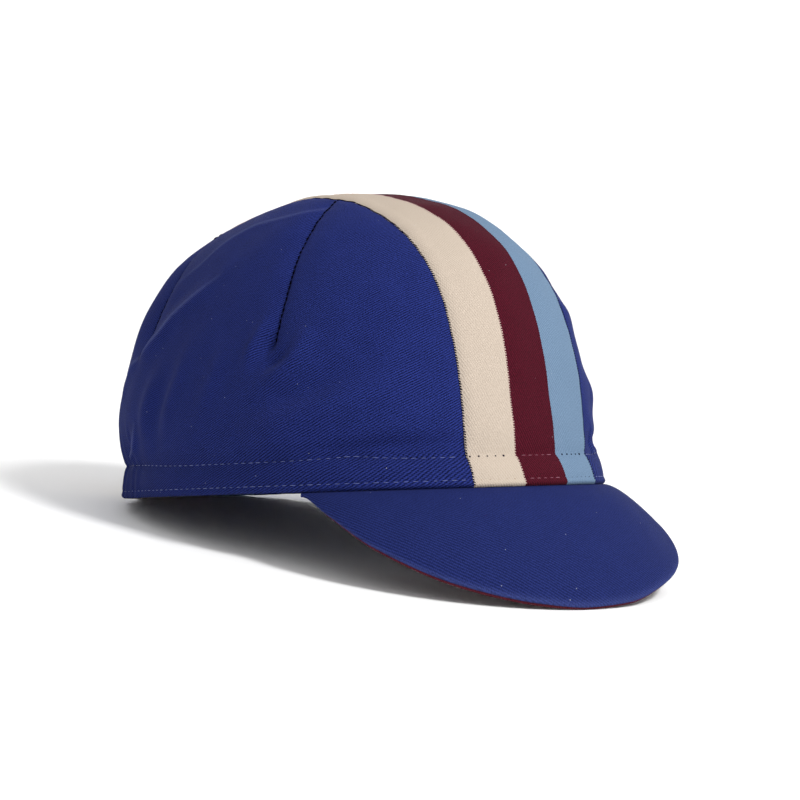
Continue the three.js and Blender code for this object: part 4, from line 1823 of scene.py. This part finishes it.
        # Painted shade: where the "seam" mask is high, the colour is mixed towards a much darker copy of the
        # dark colour.
        painted_shade_colour = tuple(c * 0.35 for c in cloth.dark)
        colour = self.mix(tree, self.math(tree, "MULTIPLY", seam.outputs["Fac"], 0.7), colour, painted_shade_colour)
        lint = self.math(tree, "MULTIPLY", dust.outputs["Lint"], 0.45)
        colour = self.mix(tree, lint, colour, LINT_COLOUR)
        link(colour, shader.inputs["Base Color"])
        high = self.math(tree, "MULTIPLY_ADD", float_, 0.35, ridge)
        high = self.math(tree, "MULTIPLY_ADD", weave.outputs["Yarn"], 1.3, high)
        bump = tree.nodes.new("ShaderNodeBump")
        bump.inputs["Strength"].default_value = 1.0
        bump.inputs["Distance"].default_value = cloth.depth * MM
        link(high, bump.inputs["Height"])
        link(bump.outputs["Normal"], shader.inputs["Normal"])
        shader.inputs["Roughness"].default_value = cloth.rough
        shader.inputs["Specular IOR Level"].default_value = cloth.gloss
        shader.inputs["Sheen Weight"].default_value = cloth.sheen
        shader.inputs["Sheen Roughness"].default_value = 0.45
        shader.inputs["Sheen Tint"].default_value = (*FUZZ_TINT, 1.0)
        return made

    def thread(self, name: str, colour: tuple, rough: float = 0.6, gloss: float = 0.3) -> bpy.types.Material:
        """The material of a thread, with a twisted, slightly uneven surface.

        Args:
            name: name of the material.
            colour: linear colour.
            rough: roughness.
            gloss: strength of its mirror reflection.

        Returns:
            The material.
        """
        made = bpy.data.materials.new(name)
        made.use_nodes = True
        tree = made.node_tree
        shader = tree.nodes["Principled BSDF"]
        coords = tree.nodes.new("ShaderNodeTexCoord")
        twist = tree.nodes.new("ShaderNodeTexNoise")
        twist.inputs["Scale"].default_value = 2500.0
        tree.links.new(coords.outputs["Object"], twist.inputs["Vector"])
        dark = tuple(c * 0.6 for c in colour)
        tree.links.new(self.mix(tree, twist.outputs["Fac"], dark, colour), shader.inputs["Base Color"])
        bump = tree.nodes.new("ShaderNodeBump")
        bump.inputs["Strength"].default_value = 0.5
        bump.inputs["Distance"].default_value = 0.05 * MM
        tree.links.new(twist.outputs["Fac"], bump.inputs["Height"])
        tree.links.new(bump.outputs["Normal"], shader.inputs["Normal"])
        shader.inputs["Roughness"].default_value = rough
        shader.inputs["Specular IOR Level"].default_value = gloss
        return made


NAVY = Twill("navy_twill", (0.0205, 0.034, 0.2), (0.0012, 0.0025, 0.02), (0.11, 0.13, 0.3), sheen=0.02)
PEAK_NAVY = Twill(
    "peak_twill", (0.016, 0.026, 0.135), (0.004, 0.0072, 0.045), (0.07, 0.09, 0.26), angle=-30.0, sheen=0.01
)
CREAM = Twill(
    "cream_twill", (0.475, 0.404, 0.335), (0.412, 0.34, 0.276), (0.53, 0.46, 0.39), angle=-62.0, sheen=0.0
)
MAROON = Twill(
    "maroon_twill", (0.086, 0.005, 0.0155), (0.02, 0.0015, 0.004), (0.2, 0.05, 0.07), angle=-62.0, sheen=0.02
)
SKY = Twill(
    "sky_twill", (0.153, 0.231, 0.333), (0.094, 0.15, 0.23), (0.24, 0.32, 0.42), angle=-62.0, sheen=0.0
)


# Assemblies


def dress(piece: bpy.types.Object, node: str, material: bpy.types.Material) -> None:
    """Gives a cloth piece its material and body, and its CAD node's place.

    Args:
        piece: the cloth piece.
        node: the CAD node that it stands for.
        material: its material.
    """
    piece.data.materials.clear()
    piece.data.materials.append(material)
    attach(piece, "root")
    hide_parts(node)


class Crown:
    """The crown: two side panels, three stripes, and the stitches in them."""

    def __init__(self, form: CapForm, paint: Paint) -> None:
        """Args:
        form: the smooth crown.
        paint: builds materials.
        """
        self.form = form
        self.relief = Relief(form)
        self.ground = ClothGround(form)
        self.navy, self.cream = paint.twill(NAVY), paint.twill(CREAM)
        self.maroon, self.sky = paint.twill(MAROON), paint.twill(SKY)
        self.black = paint.thread("dart_thread", (0.0015, 0.001, 0.003), 0.9, 0.0)
        self.bobbin = paint.thread("bobbin_thread", (0.004, 0.005, 0.022), 0.9, 0.02)
        # The clear threads get a pale colour standing for their glint on the cloth: painted highlight,
        # besides their own gloss.
        self.pale_navy = paint.thread("clear_thread_on_navy", (0.12, 0.15, 0.36), 0.35)
        self.pale_maroon = paint.thread("clear_thread_on_maroon", (0.33, 0.12, 0.17), 0.35)
        # The cream floats are lighter than the cream cloth, partly as painted highlight that offsets the
        # shade round them.
        self.cream_float = paint.thread("cream_float", (0.7, 0.52, 0.46), 0.9, 0.05)
        self.maroon_float = paint.thread("maroon_float", (0.07, 0.005, 0.014), 0.9, 0.02)
        # Painted shadow in the needle holes of the cream's lower hem row.
        self.painted_prick_shadow = paint.thread("prick_shadow", (0.38, 0.28, 0.19), 0.8)

    def dress(self, piece: bpy.types.Object, node: str, slot: str, material: bpy.types.Material) -> None:
        """Gives a cloth piece its material and its CAD node's place, and keeps it for stitches."""
        self.ground.add(piece)
        dress(piece, node, material)

    def build(self) -> None:
        """Makes every piece of the crown."""
        panel, stripe = SidePanel(self.form, self.relief), Stripe(self.form, self.relief)
        for side in Side:
            name = "panel_" + side.name.lower()
            self.dress(panel.build(side), name, "navy_cotton", self.navy)
        bands = (
            ("cream", -1.0, -1 / 3, self.cream),
            ("maroon", -1 / 3, 1 / 3, self.maroon),
            ("sky", 1 / 3, 1.0, self.sky),
        )
        for colour, low, high, material in bands:
            made = stripe.build("visual_stripe_" + colour, low, high)
            self.dress(made, "stripe_" + colour, colour + "_cotton", material)
        LOG.info("crown cloth made")
        self.stitch()

    def seam_turns(self, share: float, height: float) -> list:
        """Turns in degrees at which a hem row meets a seam of the strip.

        Args:
            share: the seam's place across the strip.
            height: the row's height above the rim, or 0 for the hem's upper row.

        Returns:
            The turn at the front and the turn at the back.
        """
        level = np.array([height / self.form.sizes.hem_height - 1 if height else 0.0])
        return [math.degrees(self.form.strip_turn(share, level, b)[0]) for b in (False, True)]

    def hem_rows(self, rows: StitchRows, tag: str, height: float) -> list:
        """Makes the stretches of one hem row, on both panels and across the three stripes.

        Args:
            rows: lays the stitches.
            tag: "upper" or "lower".
            height: the row's height above the rim, or 0 for the hem's upper row.

        Returns:
            (object, slot) pairs.
        """
        inner, outer = self.seam_turns(1 / 3, height), self.seam_turns(1.0, height)
        # On the cream the lower row is painted shadow in the needle holes, the upper row dark bobbin thread.
        knot, cream_ink = (Thread.KNOT, self.bobbin) if tag == "upper" else (Thread.PRICK, self.painted_prick_shadow)
        made = []
        for sign, side in ((-1, "right"), (1, "left")):
            span = (sign * (outer[0] + 0.8), sign * (outer[1] - 0.8))
            row = rows.hem_row(f"hem_{tag}_{side}", span, height, Thread.HEM, 3.5, self.pale_navy)
            made.append((row, "navy_cotton"))
        for place, a, b in (("front", outer[0], inner[0]), ("back", outer[1], inner[1])):
            gap = 1.5 if place == "front" else -1.5
            middle = (-b + gap, b - gap) if place == "front" else (b - gap, 360 - b + gap)
            for colour, span, thread, pitch, ink in (
                ("maroon", middle, Thread.HEM, 3.3, self.pale_maroon),
                ("cream", (-a + gap, -b - gap), knot, 3.5, cream_ink),
                ("sky", (b + gap, a - gap), knot, 3.3, self.bobbin),
            ):
                row = rows.hem_row(f"hem_{tag}_{colour}_{place}", span, height, thread, pitch, ink)
                made.append((row, colour + "_cotton"))
        return made

    def side_rows(self, rows: StitchRows, side: Side) -> list:
        """Makes the stitches of one side's darts and seams.

        Args:
            rows: lays the stitches.
            side: the wearer's side.

        Returns:
            (object, slot) pairs.
        """
        label = side.name.lower()
        made = []
        for tag, table in (("front", FRONT_DART), ("rear", REAR_DART)):
            row = rows.dart_row(f"dart_{tag}_{label}", table, side.value, self.black)
            made.append((row, "navy_cotton"))
        if side is Side.RIGHT:
            ink, slot, lean = self.cream_float, "cream_cotton", 35
        else:
            ink, slot, lean = self.maroon_float, "maroon_cotton", -35
        floats = rows.seam_teeth("edge_floats_" + label, side.value / 3, 0.2, 0.9, ink, Thread.FLOAT)
        teeth = rows.seam_teeth(
            "seam_teeth_" + label, float(side.value), math.radians(lean), 0.95, self.bobbin, Thread.TOOTH
        )
        return [*made, (floats, slot), (teeth, "navy_cotton")]

    def stitch(self) -> None:
        """Makes the stitch rows of the hem, darts and seams."""
        self.ground.close()
        rows = StitchRows(self.form, self.relief, self.ground)
        made = self.hem_rows(rows, "upper", 0.0) + self.hem_rows(rows, "lower", HEM.lower_row)
        for side in Side:
            made += self.side_rows(rows, side)
        for piece, slot in made:
            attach(piece, "root")
        LOG.info("%d stitch rows made", len(made))


class Peak:
    """The peak: a navy cover and a maroon underside."""

    def __init__(self, form: CapForm, paint: Paint) -> None:
        """Args:
        form: the smooth peak.
        paint: builds materials.
        """
        self.form = form
        self.navy = paint.twill(PEAK_NAVY)
        self.maroon = paint.twill(MAROON)

    def build(self) -> None:
        """Makes both layers."""
        sizes = self.form.sizes
        layer = PeakLayer(self.form)
        depth = sizes.peak_top_wall
        top = layer.build("visual_peak_top", 0.0, depth, 0.0)
        under = depth + sizes.peak_gap + sizes.peak_under_wall
        low = layer.build("visual_peak_underside", depth + 0.02, under, 0.25)
        dress(top, "peak_top", self.navy)
        dress(low, "peak_underside", self.maroon)


@dataclass(frozen=True)
class View:
    """The photograph's view of the cap, in the cap's own frame.

    Args:
        azimuth: camera's direction round the cap in degrees.
        elevation: its height above the rim plane in degrees.
        roll: how far the picture leans in degrees.
        distance: from the cap's middle in millimetres.
        scale: pixels to a millimetre at that distance, of an 800 pixel picture.
        centre: pixel that shows the cap's middle.
        target: the cap's middle, in millimetres.
    """

    azimuth: float = -45.2
    elevation: float = -1.4
    roll: float = -1.8
    distance: float = 1500.0
    scale: float = 2.667
    centre: tuple = (351.0, 371.0)
    target: tuple = (0.0, 0.0, 45.0)


class Studio:
    """Floor, lights and camera."""

    def __init__(self, form: CapForm, view: View) -> None:
        """Args:
        form: places the camera in the row's frame.
        view: the photograph's view.
        """
        self.form = form
        self.view = view

    def camera(self) -> None:
        """Makes the camera at the photograph's angle."""
        v = self.view
        a, e, r = (math.radians(x) for x in (v.azimuth, v.elevation, v.roll))
        back = np.array([math.sin(a) * math.cos(e), -math.cos(a) * math.cos(e), math.sin(e)])
        right = np.array([math.cos(a), math.sin(a), 0.0])
        right = right * math.cos(r) + np.cross(back, right) * math.sin(r)
        up = np.cross(back, right)
        aside, over = (400 - v.centre[0]) / v.scale, (v.centre[1] - 400) / v.scale
        place = np.array(v.target) + back * v.distance + right * aside + up * over
        p = self.form.turned(place) + np.array([0, self.form.sizes.forward, self.form.sizes.lift])
        axes = [Vector(self.form.turned(x)) for x in (right, up, back)]
        data = bpy.data.cameras.new("camera")
        data.sensor_width = 36.0
        data.lens = 36.0 * v.scale * v.distance / 800
        data.clip_start, data.clip_end = 0.05, 30.0
        cam = bpy.data.objects.new("camera", data)
        turn = Matrix(axes).transposed().to_4x4()
        cam.matrix_world = Matrix.Translation(Vector(p * MM)) @ turn
        bpy.context.scene.collection.objects.link(cam)
        bpy.context.scene.camera = cam

    def floor(self) -> None:
        """Makes the pale floor, curved up far behind the cap on every side."""
        radii = [0.0, 0.6, 1.6, 3.0, 4.0, 4.6, 5.0, 5.2]
        heights = [0, 0, 0, 0, 0.06, 0.25, 0.7, 1.6]
        count = 96
        points, faces = [(0.0, 0.0, 0.0)], []
        for radius, height in zip(radii[1:], heights[1:]):
            for i in range(count):
                a = TAU * i / count
                points.append((radius * math.cos(a), radius * math.sin(a), height))
        for i in range(count):
            faces.append((0, 1 + i, 1 + (i + 1) % count))
        for r in range(len(radii) - 2):
            for i in range(count):
                a, b = 1 + r * count, 1 + (r + 1) * count
                j = (i + 1) % count
                faces.append((a + i, b + i, b + j, a + j))
        mesh = bpy.data.meshes.new("floor")
        mesh.from_pydata(points, [], faces)
        mesh.shade_smooth()
        floor = bpy.data.objects.new("floor", mesh)
        bpy.context.scene.collection.objects.link(floor)
        material = bpy.data.materials.new("floor_paper")
        material.use_nodes = True
        shader = material.node_tree.nodes["Principled BSDF"]
        shader.inputs["Base Color"].default_value = (0.96, 0.96, 0.96, 1)
        shader.inputs["Roughness"].default_value = 0.9
        floor.data.materials.append(material)

    def lamp(self, name: str, place: tuple, aim: tuple, size: float, power: float) -> None:
        """Adds a square soft light.

        Args:
            name: name of the light.
            place: where it is, in metres.
            aim: the point it shines at.
            size: length of its side.
            power: its power in watts.
        """
        data = bpy.data.lights.new(name, "AREA")
        data.size = size
        data.energy = power
        lamp = bpy.data.objects.new(name, data)
        lamp.location = place
        lamp.rotation_mode = "QUATERNION"
        lamp.rotation_quaternion = (Vector(aim) - Vector(place)).to_track_quat("-Z", "Y")
        bpy.context.scene.collection.objects.link(lamp)

    def light(self) -> None:
        """Makes soft, even studio light, strongest from above the front of the cap."""
        world = bpy.data.worlds.new("studio")
        world.use_nodes = True
        tree = world.node_tree
        sky = tree.nodes["Background"]
        coords = tree.nodes.new("ShaderNodeTexCoord")
        toward = tree.nodes.new("ShaderNodeVectorMath")
        toward.operation = "DOT_PRODUCT"
        toward.inputs[1].default_value = (0.2, -0.6, 0.77)
        spread = tree.nodes.new("ShaderNodeMapRange")
        spread.inputs["From Min"].default_value = -0.5
        spread.inputs["From Max"].default_value = 1.0
        spread.inputs["To Min"].default_value = 0.2
        spread.inputs["To Max"].default_value = 1.0
        tree.links.new(coords.outputs["Generated"], toward.inputs[0])
        tree.links.new(toward.outputs["Value"], spread.inputs["Value"])
        tree.links.new(spread.outputs["Result"], sky.inputs["Strength"])
        sky.inputs["Color"].default_value = (1.0, 1.0, 1.0, 1)
        bpy.context.scene.world = world
        self.lamp("key", (0.1, -1.2, 1.4), (0, 0, 0.06), 0.35, 26)
        self.lamp("backdrop", (2.1, 2.1, 2.3), (3.6, 3.6, 0.5), 1.5, 110)
        self.lamp("back", (0.9, 1.3, 1.3), (0, 0, 0.06), 1.0, 2)
        settings = bpy.context.scene.view_settings
        settings.view_transform = "Standard"
        settings.look = "None"

    def build(self) -> None:
        """Makes the whole set."""
        self.camera()
        self.floor()
        self.light()


def corners(box: tuple) -> list:
    """Lowest and highest corner as plain lists."""
    return [[float(x) for x in corner] for corner in box]


def main() -> None:
    """Builds the scene in order: set, crown, peak."""
    logging.basicConfig(level=logging.INFO, format="%(name)s: %(message)s")
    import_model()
    form = CapForm(CapSizes())
    Studio(form, View()).build()
    paint = Paint()
    Crown(form, paint).build()
    Peak(form, paint).build()


if __name__ == "__main__":
    main()
